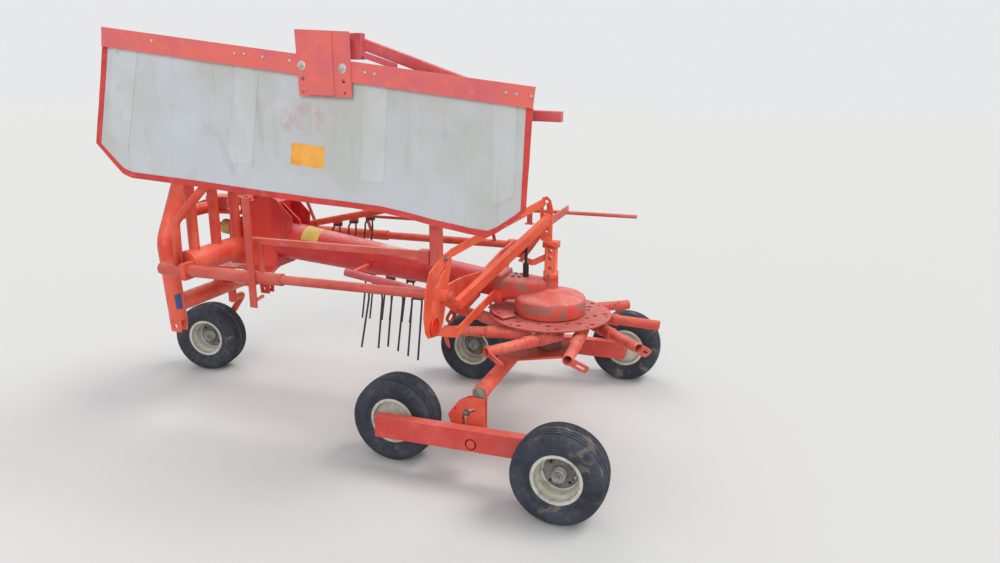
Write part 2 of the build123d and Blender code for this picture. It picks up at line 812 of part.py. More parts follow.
# Name, swivel lug, cross tube's half length, height and radius
cross_rows = [
    ("headstock_lower", lower_lug, lower_cross_half, cross_z, cross_r),
    ("headstock_upper", upper_lug, upper_cross_half, upper_cross_z, upper_cross_r),
]
for cross_name, lug, half, height, radius in cross_rows:
    with BuildPart() as cross:
        add(rod((stock_x, -half, height), (stock_x, half, height), radius))
        low_z = lug[0] - swivel_gap - ear_t
        high_z = lug[1] + swivel_gap
        add(block((knuckle_back, -knuckle_half, low_z), (stock_x + 20, knuckle_half, high_z + ear_t)))
        for ear_z in (low_z, high_z):
            add(plate_xy(ear_outline, ear_z, ear_t))
        if cross_name == "headstock_lower":
            add(rod((stem_x, stem_y, stem_sleeve_bottom), (stem_x, stem_y, stem_sleeve_top), stem_sleeve_r))
            add(rod((stock_x, stem_y, height), (stem_x, stem_y, height), stem_sleeve_r - 6))
            add(
                rod(
                    (stem_x, stem_y, stem_sleeve_bottom - 1),
                    (stem_x, stem_y, stem_sleeve_top + 1),
                    stem_r + running_gap,
                ),
                mode=Mode.SUBTRACT,
            )
        else:
            for s in (-1, 1):
                add(plate_xz(link_ear_outline, s * link_ear_y - link_ear_t / 2, link_ear_t))
            add(
                rod((top_pin_x, -top_pin_half, height), (top_pin_x, top_pin_half, height), top_pin_r),
                mode=Mode.SUBTRACT,
            )
        add(rod((swivel_x, 0, low_z - 10), (swivel_x, 0, high_z + 20), swivel_pin_r), mode=Mode.SUBTRACT)
        for piece in leg_parts:
            add(piece, mode=Mode.SUBTRACT)
    with BuildPart() as cross_kept:
        add(cross.part.solids().sort_by(SortBy.VOLUME)[-1])
    cross_kept.part.label = cross_name
    export_step(cross_kept.part, "parts/" + cross_name + ".step")

# Gauge wheel caster
with BuildPart() as caster:
    add(rod((stem_x, stem_y, stem_bottom), (stem_x, stem_y, stem_top), stem_r))
    add(rod((stem_x, stem_y, stem_sleeve_top + 5), (stem_x, stem_y, stem_top + 8), stem_r + 8))
    add(rod((stem_x, stem_y, stem_bottom), (stem_x, stem_y, stem_sleeve_bottom - 5), stem_r + 8))
    add(bent(
        [
            cast(0, 12, stem_bottom + 12), cast(0, caster_arm_y, stem_bottom + 12),
            cast(caster_lead, caster_arm_y, wheel_z),
        ],
        40,
        caster_arm_r,
    ))
    add(rod(cast(caster_lead, caster_arm_y, wheel_z), cast(caster_lead, hub_back - collar_gap, wheel_z), collar_r))
    add(rod(cast(caster_lead, caster_arm_y, wheel_z), cast(caster_lead, spindle_tip, wheel_z), spindle_r))
caster.part.label = "caster"
export_step(caster.part, "parts/caster.step")

# Input shaft and its guard
def along_input(x):
    """Point on the input shaft's axis."""
    return (x, 0, input_z0 + (x - input_x0) * input_slope)


with BuildPart() as input_shaft:
    add(rod(along_input(box_front - 55), along_input(box_front + 35), input_seat_r))
    add(rod(along_input(box_front + 30), along_input(input_tip), input_r))
input_shaft.part.label = "input_shaft"
export_step(input_shaft.part, "parts/input_shaft.step")

with BuildPart() as input_guard:
    add(rod(along_input(box_front - 8), along_input(box_front + 95), input_guard_r))
    add(
        rod(along_input(box_front - 20), along_input(box_front + 100), input_guard_r - 4),
        mode=Mode.SUBTRACT,
    )
    add(block((box_front - 40, -60, 800), (box_front, 60, 1000)), mode=Mode.SUBTRACT)
input_guard.part.label = "input_guard"
export_step(input_guard.part, "parts/input_guard.step")

# Left guard: hinge tube, hoop and top tube, strip, rail and post
with BuildPart() as hinge_left:
    add(rod((hinge_mid, hinge_y, hinge_z), (hinge_front, hinge_y, hinge_z), hinge_big_r))
    add(rod((hinge_back, hinge_y, hinge_z), (hinge_mid, hinge_y, hinge_z), hinge_small_r))
hinge_left.part.label = "hinge_tube_left"
export_step(hinge_left.part, "parts/hinge_tube_left.step")

hoop_r = 21.0
top_r = 17.0
hoop_points = [
    (1612, hinge_y, hinge_z + hinge_small_r), (1606, hinge_y, 1075), (1435, 556, 1240), (800, 530, 1915),
    (650, 530, 1925), (-335, 530, 1620),
]
with BuildPart() as hoop_left:
    add(bent(hoop_points, 60, hoop_r))
    add(hinge_left.part, mode=Mode.SUBTRACT)
hoop_left.part.label = "guard_hoop_left"

strip_x = 1158.0
rail_z = 1015.0
post_x = 210.0
post_wide = 48.0
post_head_z = 1800.0
with BuildPart() as strip_left:
    add(block((strip_x - 20, hinge_y + 34, 690), (strip_x + 20, hinge_y + 40, 1225)))
    add(block((strip_x - 20, hinge_y + 29, hinge_z - 12), (strip_x + 20, hinge_y + 34, hinge_z + 12)))
    add(block((strip_x - 20, hinge_y + 12, rail_z - 12), (strip_x + 20, hinge_y + 34, rail_z + 12)))
    add(bent([(strip_x, hinge_y + 37, 700), (1220, 520, 690), (1262, 380, 678)], 20, 9))
    add(hinge_left.part, mode=Mode.SUBTRACT)
strip_left.part.label = "guard_strip_left"

rail_from = 250.0
with BuildPart() as rail_left:
    add(block((rail_from, hinge_y - 12, rail_z - 15), (strip_x + 22, hinge_y + 12, rail_z + 15)))
    add(block((rail_from - 50, hinge_y - 24, rail_z - 40), (rail_from + 40, hinge_y + 24, rail_z + 45)))
    add(block(
        (post_x - post_wide / 2, hinge_y - post_wide / 2, rail_z + 45),
        (post_x + post_wide / 2, hinge_y + post_wide / 2, post_head_z),
    ))
    add(hoop_left.part, mode=Mode.SUBTRACT)
    add(strip_left.part, mode=Mode.SUBTRACT)
rail_left.part.label = "guard_rail_left"
with BuildPart() as riser_left:
    for riser_x in (300.0, 1120.0):
        add(block((riser_x - 10, hinge_y - 8, hinge_z + 15), (riser_x + 10, hinge_y + 8, rail_z - 15)))
    add(hinge_left.part, mode=Mode.SUBTRACT)
riser_left.part.label = "guard_risers_left"
export_step(hoop_left.part, "parts/guard_hoop_left.step")
export_step(strip_left.part, "parts/guard_strip_left.step")
export_step(rail_left.part, "parts/guard_rail_left.step")
export_step(riser_left.part, "parts/guard_risers_left.step")

# Curtain and its swing
curtain_y = 620.0
cloth_t = 3.0
swing_y = 598.0
swing_z = 1921.0
swing_r = 11.0
knuckle_r = 18.0
curtain_outline = [
    (1846, 1960), (-242, 1707), (-215, 1247), (-51, 1127), (193, 1158), (448, 1204), (755, 1222),
    (1812, 1296), (1977, 1454),
]
bar_t = 14.0
bar_outline = [(1839, 1991), (-250, 1738), (-240, 1655), (1852, 1905)]
clamp_t = 6.0
clamp_outline = [(807, 1966), (549, 1953), (547, 1687), (801, 1694)]
clamp_raised = [(743, 1961), (629, 1954), (628, 1694), (748, 1697)]
# Hole places in the clamp plate: x, z and radius
clamp_holes = [(778, 1763, 9.0), (583, 1754, 9.0), (780, 1709, 6.0), (580, 1705, 6.0)]
with BuildPart() as curtain:
    add(plate_xz(curtain_outline, curtain_y, cloth_t))
curtain.part.label = "curtain"
export_step(curtain.part, "parts/curtain.step")

with BuildPart() as curtain_bar:
    add(plate_xz(bar_outline, curtain_y + cloth_t, bar_t))
curtain_bar.part.label = "curtain_bar"
export_step(curtain_bar.part, "parts/curtain_bar.step")

lug_back = 600.0
lug_front = 770.0
with BuildPart() as curtain_clamp:
    add(plate_xz(clamp_outline, curtain_y + cloth_t + bar_t, clamp_t))
    add(plate_xz(clamp_raised, curtain_y + cloth_t + bar_t, 2 * clamp_t))
    for hole_x, hole_z, hole_r in clamp_holes:
        add(
            rod(
                (hole_x, curtain_y + cloth_t + bar_t - 1, hole_z),
                (hole_x, curtain_y + cloth_t + bar_t + 2 * clamp_t, hole_z),
                hole_r,
            ),
            mode=Mode.SUBTRACT,
        )
    add(block((640, swing_y, swing_z - 16), (740, curtain_y + cloth_t + bar_t, swing_z + 16)))
    add(rod((640, swing_y, swing_z), (740, swing_y, swing_z), knuckle_r))
    add(rod((lug_back, swing_y, swing_z), (lug_front, swing_y, swing_z), swing_r))
curtain_clamp.part.label = "curtain_clamp"
with BuildPart() as swing_ears:
    for ear_x in (lug_back, lug_front - 20):
        add(block((ear_x, 530, swing_z - 20), (ear_x + 20, swing_y + 18, swing_z + 20)))
    add(block((493, 545, 1840), (577, 592, 1950)))
    add(bent([(535, 575, 1866), (500, 575, 1855), (385, 575, 1816)], 20, 14))
    add(
        rod((lug_back - 1, swing_y, swing_z), (lug_front + 1, swing_y, swing_z), swing_r + running_gap),
        mode=Mode.SUBTRACT,
    )
    add(hoop_left.part, mode=Mode.SUBTRACT)
swing_ears.part.label = "swing_ears"
export_step(curtain_clamp.part, "parts/curtain_clamp.step")
export_step(swing_ears.part, "parts/swing_ears.step")

# Left rear supports
sector_x = 185.0
sector_t = 8.0
sector_outline = [
    (443, 965), (461, 1017), (540, 1012), (689, 968), (735, 890), (757, 784), (740, 710), (714, 680),
    (615, 661), (555, 700), (525, 770), (490, 860),
]
sector_slot = [(515, 952), (580, 928), (640, 868), (672, 790)]
with BuildPart() as sector_plate:
    add(plate_yz(sector_outline, sector_x, sector_t))
    for first, second in zip(sector_slot, sector_slot[1:]):
        add(
            flat(
                (sector_x + sector_t / 2, first[0], first[1]),
                (sector_x + sector_t / 2, second[0], second[1]),
                sector_t + 4,
                18,
                (1, 0, 0),
            ),
            mode=Mode.SUBTRACT,
        )
sector_raw = sector_plate.part

sleeve_back = 150.0
sleeve_front = 235.0
sleeve_left = rod((sleeve_back, hinge_y, hinge_z), (sleeve_front, hinge_y, hinge_z), 32.5)
gusset_parts = []
for s in (1, -1):
    with BuildPart() as gusset:
        add(plate_yz(
            [(s * 40, 690), (s * 300, 660), (s * 545, 795), (s * 545, 862), (s * 300, 850), (s * 40, 815)],
            sector_x + sector_t,
            12,
        ))
        add(rod((sleeve_back, s * hinge_y, hinge_z), (sleeve_front, s * hinge_y, hinge_z), 32.5))
        add(
            rod((sleeve_back - 1, s * hinge_y, hinge_z), (sleeve_front + 1, s * hinge_y, hinge_z), hinge_small_r + 0.05),
            mode=Mode.SUBTRACT,
        )
        add(boom_tube.part, mode=Mode.SUBTRACT)
    gusset_parts.append(gusset.part)
gusset_left = gusset_parts[0]
with BuildPart() as gussets:
    for piece in gusset_parts:
        add(piece)
gussets.part.label = "gussets"
export_step(gussets.part, "parts/gussets.step")

with BuildPart() as sector_left:
    add(sector_raw)
    add(sleeve_left, mode=Mode.SUBTRACT)
    add(rod((sector_x - 1, hinge_y, hinge_z), (sector_x + 20, hinge_y, hinge_z), 32.5), mode=Mode.SUBTRACT)
    add(
        flat((sector_x + sector_t / 2, 523, 1000), (sector_x + sector_t / 2, 524, 979), sector_t + 4, 9, (1, 0, 0)),
        mode=Mode.SUBTRACT,
    )
sector_left.part.label = "sector_left"
export_step(sector_left.part, "parts/sector_left.step")

with BuildPart() as reflector:
    add(rod((sector_x - 8, 665, 720), (sector_x, 665, 720), 40))
reflector.part.label = "reflector_left"
export_step(reflector.part, "parts/reflector_left.step")

channel_foot = (130.0, 500.0, 775.0)
channel_head = (-164.0, 6.0, 1106.0)
channel_wide = 58.0
channel_deep = 26.0
channel_t = 6.0
channel_parts = []
for s in (1, -1):
    foot = (channel_foot[0], s * channel_foot[1], channel_foot[2])
    head = (channel_head[0], s * channel_head[1], channel_head[2])
    side = (0, s * 0.557, 0.83)
    inward = (0.897, -s * 0.366, 0.246)
    tab = (min(s * 486, s * 508), max(s * 486, s * 508))
    with BuildPart() as channel:
        add(flat(foot, head, channel_wide, channel_t, side))
        for edge in (-1, 1):
            shift = tuple(
                edge * side[i] * (channel_wide - channel_t) / 2 + inward[i] * (channel_deep - channel_t) / 2
                for i in range(3)
            )
            add(flat(
                tuple(foot[i] + shift[i] for i in range(3)),
                tuple(head[i] + shift[i] for i in range(3)),
                channel_t,
                channel_deep,
                side,
            ))
        add(block((116, tab[0], 778), (sector_x + sector_t, tab[1], 800)))
        near = min(s * mast_plate_t / 2, -s * 100)
        far = max(s * mast_plate_t / 2, -s * 100)
        add(block((-300, near, 1000), (100, far, 1300)), mode=Mode.SUBTRACT)
        add(casing.part, mode=Mode.SUBTRACT)
    channel_parts.append(channel.part)
with BuildPart() as channel_braces:
    for piece in channel_parts:
        add(piece)
channel_braces.part.label = "channel_braces"
export_step(channel_braces.part, "parts/channel_braces.step")

crossbar_x = -155.0
crossbar_z = 1088.0
crossbar_end = -380.0
crossbar_high = 40.0
crossbar_t = 8.0
with BuildPart() as crossbar_raw:
    add(flat(
        (crossbar_x, mast_plate_t / 2, crossbar_z), (crossbar_x, crossbar_end, crossbar_z + 3),
        crossbar_high, crossbar_t, (0, 0, 1),
    ))
    add(block((-260, -mast_plate_t / 2, 1000), (-60, 60, 1300)), mode=Mode.SUBTRACT)
    add(channel_braces.part, mode=Mode.SUBTRACT)
with BuildPart() as crossbar:
    add(crossbar_raw.part.solids().sort_by(SortBy.VOLUME)[-1])
crossbar.part.label = "crossbar"
export_step(crossbar.part, "parts/crossbar.step")

flat_brace_foot = (sector_x + 20, 500.0, 992.0)
flat_brace_head = (-135.0, -6.0, 1190.0)
flat_brace_wide = 38.0
flat_brace_t = 8.0
with BuildPart() as flat_brace:
    add(flat(flat_brace_foot, flat_brace_head, flat_brace_wide, flat_brace_t, (0, 0, 1)))
    add(block((-300, -100, 1000), (100, mast_plate_t / 2, 1300)), mode=Mode.SUBTRACT)
    add(block((sector_x, 400, 900), (sector_x + 100, 600, 1100)), mode=Mode.SUBTRACT)
flat_brace.part.label = "flat_brace"
export_step(flat_brace.part, "parts/flat_brace.step")

strap_z = 683.0
strap_wide = 42.0
strap_t = 8.0
with BuildPart() as strap:
    add(flat((sector_x, 618, strap_z), (97, 608, strap_z), strap_wide, strap_t, (0, 0, 1)))
    add(flat((100, 612, strap_z), (100, face_half, strap_z + 39), strap_wide, strap_t, (0, 0, 1)))
    add(block((62, face_half, strap_z + 19), (104, face_half + strap_t, strap_z + 60)))
    add(casing.part, mode=Mode.SUBTRACT)
    add(block((sector_x, 560, 600), (sector_x + 60, 680, 800)), mode=Mode.SUBTRACT)
strap.part.label = "strap"
export_step(strap.part, "parts/strap.step")

# Right guard
right_rail_y = -440.0
right_rail_z = 1060.0
right_low_z = 957.0
right_rail_r = 10.0
right_rail_back = -515.0
right_risers = [320.0, 1120.0]
with BuildPart() as hinge_right:
    add(rod((hinge_mid, -hinge_y, hinge_z), (hinge_front, -hinge_y, hinge_z), hinge_big_r))
    add(rod((hinge_back, -hinge_y, hinge_z), (hinge_mid, -hinge_y, hinge_z), hinge_small_r))
hinge_right.part.label = "hinge_tube_right"
export_step(hinge_right.part, "parts/hinge_tube_right.step")
with BuildPart() as rail_right:
    add(bent(
        [
            (1500, -hinge_y, hinge_z + 12), (1500, right_rail_y, right_rail_z),
            (right_rail_back, right_rail_y, right_rail_z),
        ],
        40,
        right_rail_r,
    ))
    for riser_x in right_risers:
        add(rod((riser_x, -hinge_y, hinge_z + 12), (riser_x, right_rail_y, right_rail_z), right_rail_r))
    add(rod((right_risers[0], -494, right_low_z), (right_risers[1], -494, right_low_z), right_rail_r - 1))
    add(block((60, right_rail_y - 3, 985), (90, right_rail_y + 3, right_rail_z)))
    add(block((50, right_rail_y - 3, 985), (96, right_rail_y + 25, 991)))
    add(hinge_right.part, mode=Mode.SUBTRACT)
rail_right.part.label = "guard_rail_right"
export_step(rail_right.part, "parts/guard_rail_right.step")

# Stored tine arms: arm line, then holder places with the tops and the low ends of their two tines
tine_r = 5.0
arm_r = 20.0
tine_y = 20.0
stored_rows = [
    ("stored_arm_left", (195, 280, 723), (830, 280, 818), [
        (656, (693, 700), (747, 434), (619, 700), (651, 440)),
        (537, (568, 700), (597, 455), (506, 700), (542, 437)),
        (430, (457, 700), (487, 417), (404, 700), (433, 402)),
    ]),
    ("stored_arm_right_low", (200, -200, 700), (1100, -200, 700), [
        (695, (720, 615), (750, 420), (672, 615), (702, 420)),
        (821, (846, 615), (876, 420), (798, 615), (828, 420)),
        (947, (972, 615), (1002, 420), (924, 615), (954, 420)),
    ]),
    ("stored_arm_right_high", (905, -400, 1028), (1590, -400, 874), [
        (1042, (1067, 910), (1097, 715), (1019, 910), (1049, 715)),
        (1152, (1177, 890), (1207, 690), (1129, 890), (1159, 690)),
        (1261, (1286, 865), (1316, 665), (1238, 865), (1268, 665)),
    ]),
]
holder_half = 25.0
holder_thick = 12.0
holder_drop = 45.0
for arm_name, back_end, front_end, holders in stored_rows:
    run = Vector(*front_end) - Vector(*back_end)
    with BuildPart() as stored_arm:
        add(rod(back_end, front_end, arm_r))
        for holder_x, *tines in holders:
            mid = Vector(*back_end) + run * ((holder_x - back_end[0]) / run.X)
            add(block(
                (mid.X - holder_half, mid.Y - holder_thick, mid.Z - holder_drop),
                (mid.X + holder_half, mid.Y + holder_thick, mid.Z),
            ))
            for top, low in (tines[:2], tines[2:]):
                start_x = mid.X + math.copysign(holder_half - 2 * tine_r, top[0] - mid.X)
                add(bent(
                    [
                        (start_x, mid.Y + holder_thick / 2, mid.Z - holder_drop + 2 * tine_r),
                        (top[0], mid.Y + tine_y, top[1] + 20),
                        (top[0], mid.Y + tine_y, top[1]),
                        (low[0], mid.Y + tine_y, low[1]),
                    ],
                    8,
                    tine_r,
                ))
        add(rack_shape, mode=Mode.SUBTRACT)
        add(rack_posts.part, mode=Mode.SUBTRACT)
        add(block((100, -500, 500), (sector_x + sector_t + 12, 500, 900)), mode=Mode.SUBTRACT)
    stored_arm.part.label = arm_name
    export_step(stored_arm.part, "parts/" + arm_name + ".step")

with BuildPart() as arm_hangers:
    add(block((1040, -212, 700), (1060, -188, 800)))
    add(block((1040, -212, 790), (1060, -20, 810)))
    add(block((790, 20, 804), (810, 280, 822)))
    add(boom_tube.part, mode=Mode.SUBTRACT)
    for arm_name, back_end, front_end, holders in stored_rows:
        add(rod(back_end, front_end, arm_r), mode=Mode.SUBTRACT)
arm_hangers.part.label = "arm_hangers"
export_step(arm_hangers.part, "parts/arm_hangers.step")
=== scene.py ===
import math

import bmesh
import bpy
from mathutils import Matrix, Vector, noise


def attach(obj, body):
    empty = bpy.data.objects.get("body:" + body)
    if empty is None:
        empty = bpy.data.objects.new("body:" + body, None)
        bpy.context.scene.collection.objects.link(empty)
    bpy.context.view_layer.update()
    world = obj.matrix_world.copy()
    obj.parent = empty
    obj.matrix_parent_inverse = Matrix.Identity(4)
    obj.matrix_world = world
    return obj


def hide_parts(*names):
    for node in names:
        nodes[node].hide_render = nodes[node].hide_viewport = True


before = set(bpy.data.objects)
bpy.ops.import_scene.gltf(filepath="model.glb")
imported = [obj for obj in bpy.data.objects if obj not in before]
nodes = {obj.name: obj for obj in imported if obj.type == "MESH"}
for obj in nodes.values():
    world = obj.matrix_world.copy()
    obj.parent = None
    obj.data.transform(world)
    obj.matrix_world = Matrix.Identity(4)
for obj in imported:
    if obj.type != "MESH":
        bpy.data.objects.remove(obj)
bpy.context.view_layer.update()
TANDEM_X = -778.1  # the layout starts over the tandem axle, at this x of the part's frame, in mm
SAME_POINT = 0.00002  # points nearer than this are one, in m


def at(x, y, z):
    """Layout point in mm to the part's frame in metres."""
    return Vector(((x + TANDEM_X) / 1000, y / 1000, z / 1000))


def srgb(r, g, b):
    """Colour given as 0 to 255 to linear."""
    out = []
    for v in (r, g, b):
        v /= 255
        out.append(v / 12.92 if v <= 0.04045 else ((v + 0.055) / 1.055) ** 2.4)
    return (*out, 1.0)


# ---------------------------------------------------------------- materials
class Look:
    """A material built from object coordinates."""

    def __init__(self, name, rough=0.5, metal=0.0, **sockets):
        self.m = bpy.data.materials.new(name)
        self.m.use_nodes = True
        self.t = self.m.node_tree
        self.t.nodes.clear()
        self.b = self.t.nodes.new("ShaderNodeBsdfPrincipled")
        out = self.t.nodes.new("ShaderNodeOutputMaterial")
        self.t.links.new(self.b.outputs[0], out.inputs[0])
        self.b.inputs["Roughness"].default_value = rough
        self.b.inputs["Metallic"].default_value = metal
        for k, v in sockets.items():
            self.b.inputs[k.replace("_", " ")].default_value = v
        self.coord = self.t.nodes.new("ShaderNodeTexCoord").outputs["Object"]
        self.geo = self.t.nodes.new("ShaderNodeNewGeometry")

    def put(self, socket, value):
        """Links a node's output to a socket, or sets the socket to a constant."""
        if isinstance(value, bpy.types.NodeSocket):
            self.t.links.new(value, socket)
        else:
            socket.default_value = value

    def scaled(self, sx, sy, sz):
        n = self.t.nodes.new("ShaderNodeMapping")
        n.inputs["Scale"].default_value = (sx, sy, sz)
        self.put(n.inputs["Vector"], self.coord)
        return n.outputs[0]

    def noise(self, scale, detail=4.0, rough=0.55, coord=None, distort=0.0):
        n = self.t.nodes.new("ShaderNodeTexNoise")
        self.put(n.inputs["Vector"], coord or self.coord)
        n.inputs["Scale"].default_value = scale
        n.inputs["Detail"].default_value = detail
        n.inputs["Roughness"].default_value = rough
        n.inputs["Distortion"].default_value = distort
        return n.outputs["Fac"]

    def wave(self, scale, direction):
        n = self.t.nodes.new("ShaderNodeTexWave")
        n.bands_direction = direction
        self.put(n.inputs["Vector"], self.coord)
        n.inputs["Scale"].default_value = scale
        return n.outputs["Fac"]

    def ramp(self, fac, low, high, a=0.0, b=1.0):
        """A smooth step from a to b while fac goes from low to high."""
        n = self.t.nodes.new("ShaderNodeMapRange")
        n.interpolation_type = "SMOOTHSTEP"
        self.put(n.inputs["Value"], fac)
        n.inputs["From Min"].default_value = low
        n.inputs["From Max"].default_value = high
        n.inputs["To Min"].default_value = a
        n.inputs["To Max"].default_value = b
        return n.outputs[0]

    def math(self, op, a, b=0.0):
        n = self.t.nodes.new("ShaderNodeMath")
        n.operation = op
        self.put(n.inputs[0], a)
        self.put(n.inputs[1], b)
        return n.outputs[0]

    def mix(self, fac, a, b):
        n = self.t.nodes.new("ShaderNodeMix")
        n.data_type = "RGBA"
        self.put(n.inputs["Factor"], fac)
        self.put(n.inputs["A"], a)
        self.put(n.inputs["B"], b)
        return [o for o in n.outputs if o.type == "RGBA"][0]

    def up(self, low=0.3, high=0.95):
        """How far the surface faces up."""
        n = self.t.nodes.new("ShaderNodeSeparateXYZ")
        self.put(n.inputs[0], self.geo.outputs["Normal"])
        return self.ramp(n.outputs["Z"], low, high)

    def axis(self, which):
        """One of the object's own coordinates, in m."""
        n = self.t.nodes.new("ShaderNodeSeparateXYZ")
        self.put(n.inputs[0], self.coord)
        return n.outputs[which]

    def colour(self, value):
        self.put(self.b.inputs["Base Color"], value)

    def over(self, fac, value):
        """Another colour over the one so far."""
        self.colour(self.mix(fac, self.b.inputs["Base Color"].links[0].from_socket, value))

    def rough(self, value):
        self.put(self.b.inputs["Roughness"], value)

    def bump(self, height, strength=0.2, distance=0.002):
        n = self.t.nodes.new("ShaderNodeBump")
        n.inputs["Strength"].default_value = strength
        n.inputs["Distance"].default_value = distance
        self.put(n.inputs["Height"], height)
        self.put(self.b.inputs["Normal"], n.outputs[0])


def paint(name, base, faded, worn, wear=0.62, dusty=0.25, rough=0.42):
    """Old sprayed enamel: faded in clouds, chipped to a dull undercoat, dusty on top."""
    k = Look(name, rough)
    cloud = k.ramp(k.noise(5.5, 5, 0.6), 0.38, 0.66)
    c = k.mix(cloud, srgb(*base), srgb(*faded))
    chips = k.noise(30, 9, 0.68, distort=0.4)
    patch = k.ramp(chips, wear, wear + 0.06)
    c = k.mix(patch, c, srgb(*worn))
    streak = k.ramp(k.noise(12, 6, 0.6, k.scaled(1, 1, 0.18)), 0.55, 0.78, 0, 0.35)
    c = k.mix(streak, c, srgb(*[int(v * 0.62) for v in base]))
    speck = k.ramp(k.noise(210, 3, 0.7), 0.69, 0.73, 0, 0.75)
    c = k.mix(speck, c, srgb(96, 58, 44))
    dust = k.math("MULTIPLY", k.up(), k.ramp(k.noise(14, 6, 0.65), 0.35, 0.7, 0.3 * dusty, dusty))
    c = k.mix(dust, c, srgb(188, 150, 122))
    k.colour(c)
    k.rough(k.math("ADD", k.ramp(chips, 0.35, 0.75, rough - 0.08, rough + 0.32), k.math("MULTIPLY", dust, 0.5)))
    k.bump(k.math("SUBTRACT", k.noise(90, 4, 0.5), k.math("MULTIPLY", patch, 0.9)), 0.16, 0.0015)
    return k


def boom_look():
    """Boom paint: a painted pink highlight on top, more orange and brighter at the front box (partly painted light
    over its shade), rubbed bare on top near its middle.
    """
    k = paint("boom_paint", (192, 38, 38), (204, 58, 52), (116, 56, 46), 0.66, 0.1, 0.38)
    # Painted highlight: pink on what faces up
    k.over(k.math("MULTIPLY", k.up(0.6, 0.97), 0.5), srgb(206, 124, 130))
    x = k.axis("X")
    # Front box more orange and brighter, partly painted light over the shade it sits in
    k.over(k.ramp(x, 0.58, 0.62), srgb(212, 62, 48))
    along = k.math("MULTIPLY", k.ramp(x, -0.26, -0.2), k.ramp(x, -0.08, 0.0, 1, 0))
    rubbed = k.ramp(k.noise(9, 7, 0.7, k.scaled(0.5, 2, 1)), 0.38, 0.5)
    k.over(k.math("MULTIPLY", k.math("MULTIPLY", k.up(0.55, 0.95), along), rubbed), srgb(196, 172, 150))
    return k.m


def worn_look(name, base, faded, top_highlight=0.8):
    """Paint rubbed through in broad patches on what faces sideways, with a painted pink highlight in patches on what
    faces up.
    """
    k = paint(name, base, faded, (150, 84, 68), 0.66, 0.3, 0.5)
    top = k.up(0.2, 0.7)
    scuff = k.ramp(k.noise(7.5, 8, 0.66, k.scaled(1, 1, 1.8), 0.8), 0.49, 0.53, 0, 0.8)
    k.over(k.math("MULTIPLY", scuff, k.math("SUBTRACT", 1.0, top)), srgb(134, 98, 88))
    # Painted highlight: lighter pink in patches on what faces up, standing in for light from above
    top_highlight_patches = k.ramp(k.noise(9, 6, 0.6), 0.36, 0.66, 0.15, top_highlight)
    k.over(k.math("MULTIPLY", top, top_highlight_patches), srgb(212, 136, 136))
    return k.m


def rubber_look():
    """Dark rubber, dusty, with patches of dried mud."""
    k = Look("tyre_rubber", 0.8)
    c = k.mix(k.ramp(k.noise(7, 5), 0.35, 0.7), srgb(36, 40, 50), srgb(54, 59, 71))
    dirt = k.ramp(k.noise(26, 7, 0.7), 0.5, 0.72, 0, 0.25)
    c = k.mix(dirt, c, srgb(104, 98, 94))
    mud = k.ramp(k.noise(7.5, 7, 0.7, distort=0.5), 0.58, 0.66, 0, 0.6)
    c = k.mix(mud, c, srgb(120, 108, 98))
    k.colour(c)
    k.rough(k.ramp(k.noise(40, 4), 0.3, 0.7, 0.62, 0.92))
    k.bump(k.math("ADD", k.noise(160, 4, 0.6), k.math("MULTIPLY", k.noise(35, 3), 0.6)), 0.22, 0.0012)
    return k.m


def rim_look():
    """Cream enamel with grime and rust."""
    k = Look("rim_enamel", 0.45)
    c = k.mix(k.ramp(k.noise(12, 5), 0.4, 0.65), srgb(200, 199, 186), srgb(180, 176, 160))
    rust = k.ramp(k.noise(46, 9, 0.74, distort=0.6), 0.6, 0.68, 0, 0.85)
    c = k.mix(rust, c, srgb(120, 82, 56))
    grime = k.ramp(k.noise(22, 6, 0.7), 0.48, 0.74, 0, 0.7)
    c = k.mix(grime, c, srgb(128, 122, 110))
    k.colour(c)
    k.rough(k.ramp(rust, 0, 1, 0.42, 0.85))
    k.bump(k.math("SUBTRACT", k.noise(120, 3), rust), 0.14, 0.0012)
    return k.m


BLOT_MIDDLE = (0.01, 1.594)  # x and z in the part's frame, in m
BLOT_REACH = (0.17, 0.075)


def canvas_look(name, lift=0):
    """Coated cloth: grey, dirt in clouds, runs from the bar, and one faded pinkish blot."""
    k = Look(name, 0.82, Sheen_Weight=0.1)
    tone = k.ramp(k.noise(2.1, 5, 0.55), 0.38, 0.64)
    c = k.mix(tone, srgb(194 + lift, 198 + lift, 203 + lift), srgb(186 + lift, 187 + lift, 182 + lift))
    pale = k.ramp(k.noise(3.4, 3, 0.5, k.scaled(1, 1, 0.7), 0.5), 0.52, 0.7, 0, 0.5)
    c = k.mix(pale, c, srgb(204, 209, 216))
    stain = k.ramp(k.noise(4.6, 8, 0.72, k.scaled(1, 1, 0.5), 0.8), 0.54, 0.72, 0, 0.42)
    c = k.mix(stain, c, srgb(150, 143, 128))
    run = k.ramp(k.noise(18, 5, 0.6, k.scaled(1, 1, 0.09)), 0.56, 0.76, 0, 0.3)
    c = k.mix(run, c, srgb(158, 152, 142))
    spot = k.ramp(k.noise(85, 3, 0.7), 0.7, 0.75, 0, 0.35)
    c = k.mix(spot, c, srgb(120, 112, 100))
    along, high = (k.math("DIVIDE", k.math("SUBTRACT", k.axis(axis), mid), reach)
                   for axis, mid, reach in zip("XZ", BLOT_MIDDLE, BLOT_REACH))
    far = k.math("ADD", k.math("MULTIPLY", along, along), k.math("MULTIPLY", high, high))
    blot = k.math("MULTIPLY", k.ramp(far, 0.35, 1.3, 1, 0), k.ramp(k.noise(13, 8, 0.75), 0.45, 0.6, 0, 0.5))
    c = k.mix(blot, c, srgb(192, 138, 146))
    k.colour(c)
    weave = k.math("ADD", k.wave(240, "X"), k.wave(240, "Z"))
    k.rough(k.ramp(k.noise(20, 4), 0.3, 0.7, 0.72, 0.9))
    k.bump(k.math("ADD", k.math("MULTIPLY", weave, 0.35), k.noise(6, 4)), 0.3, 0.0016)
    return k.m


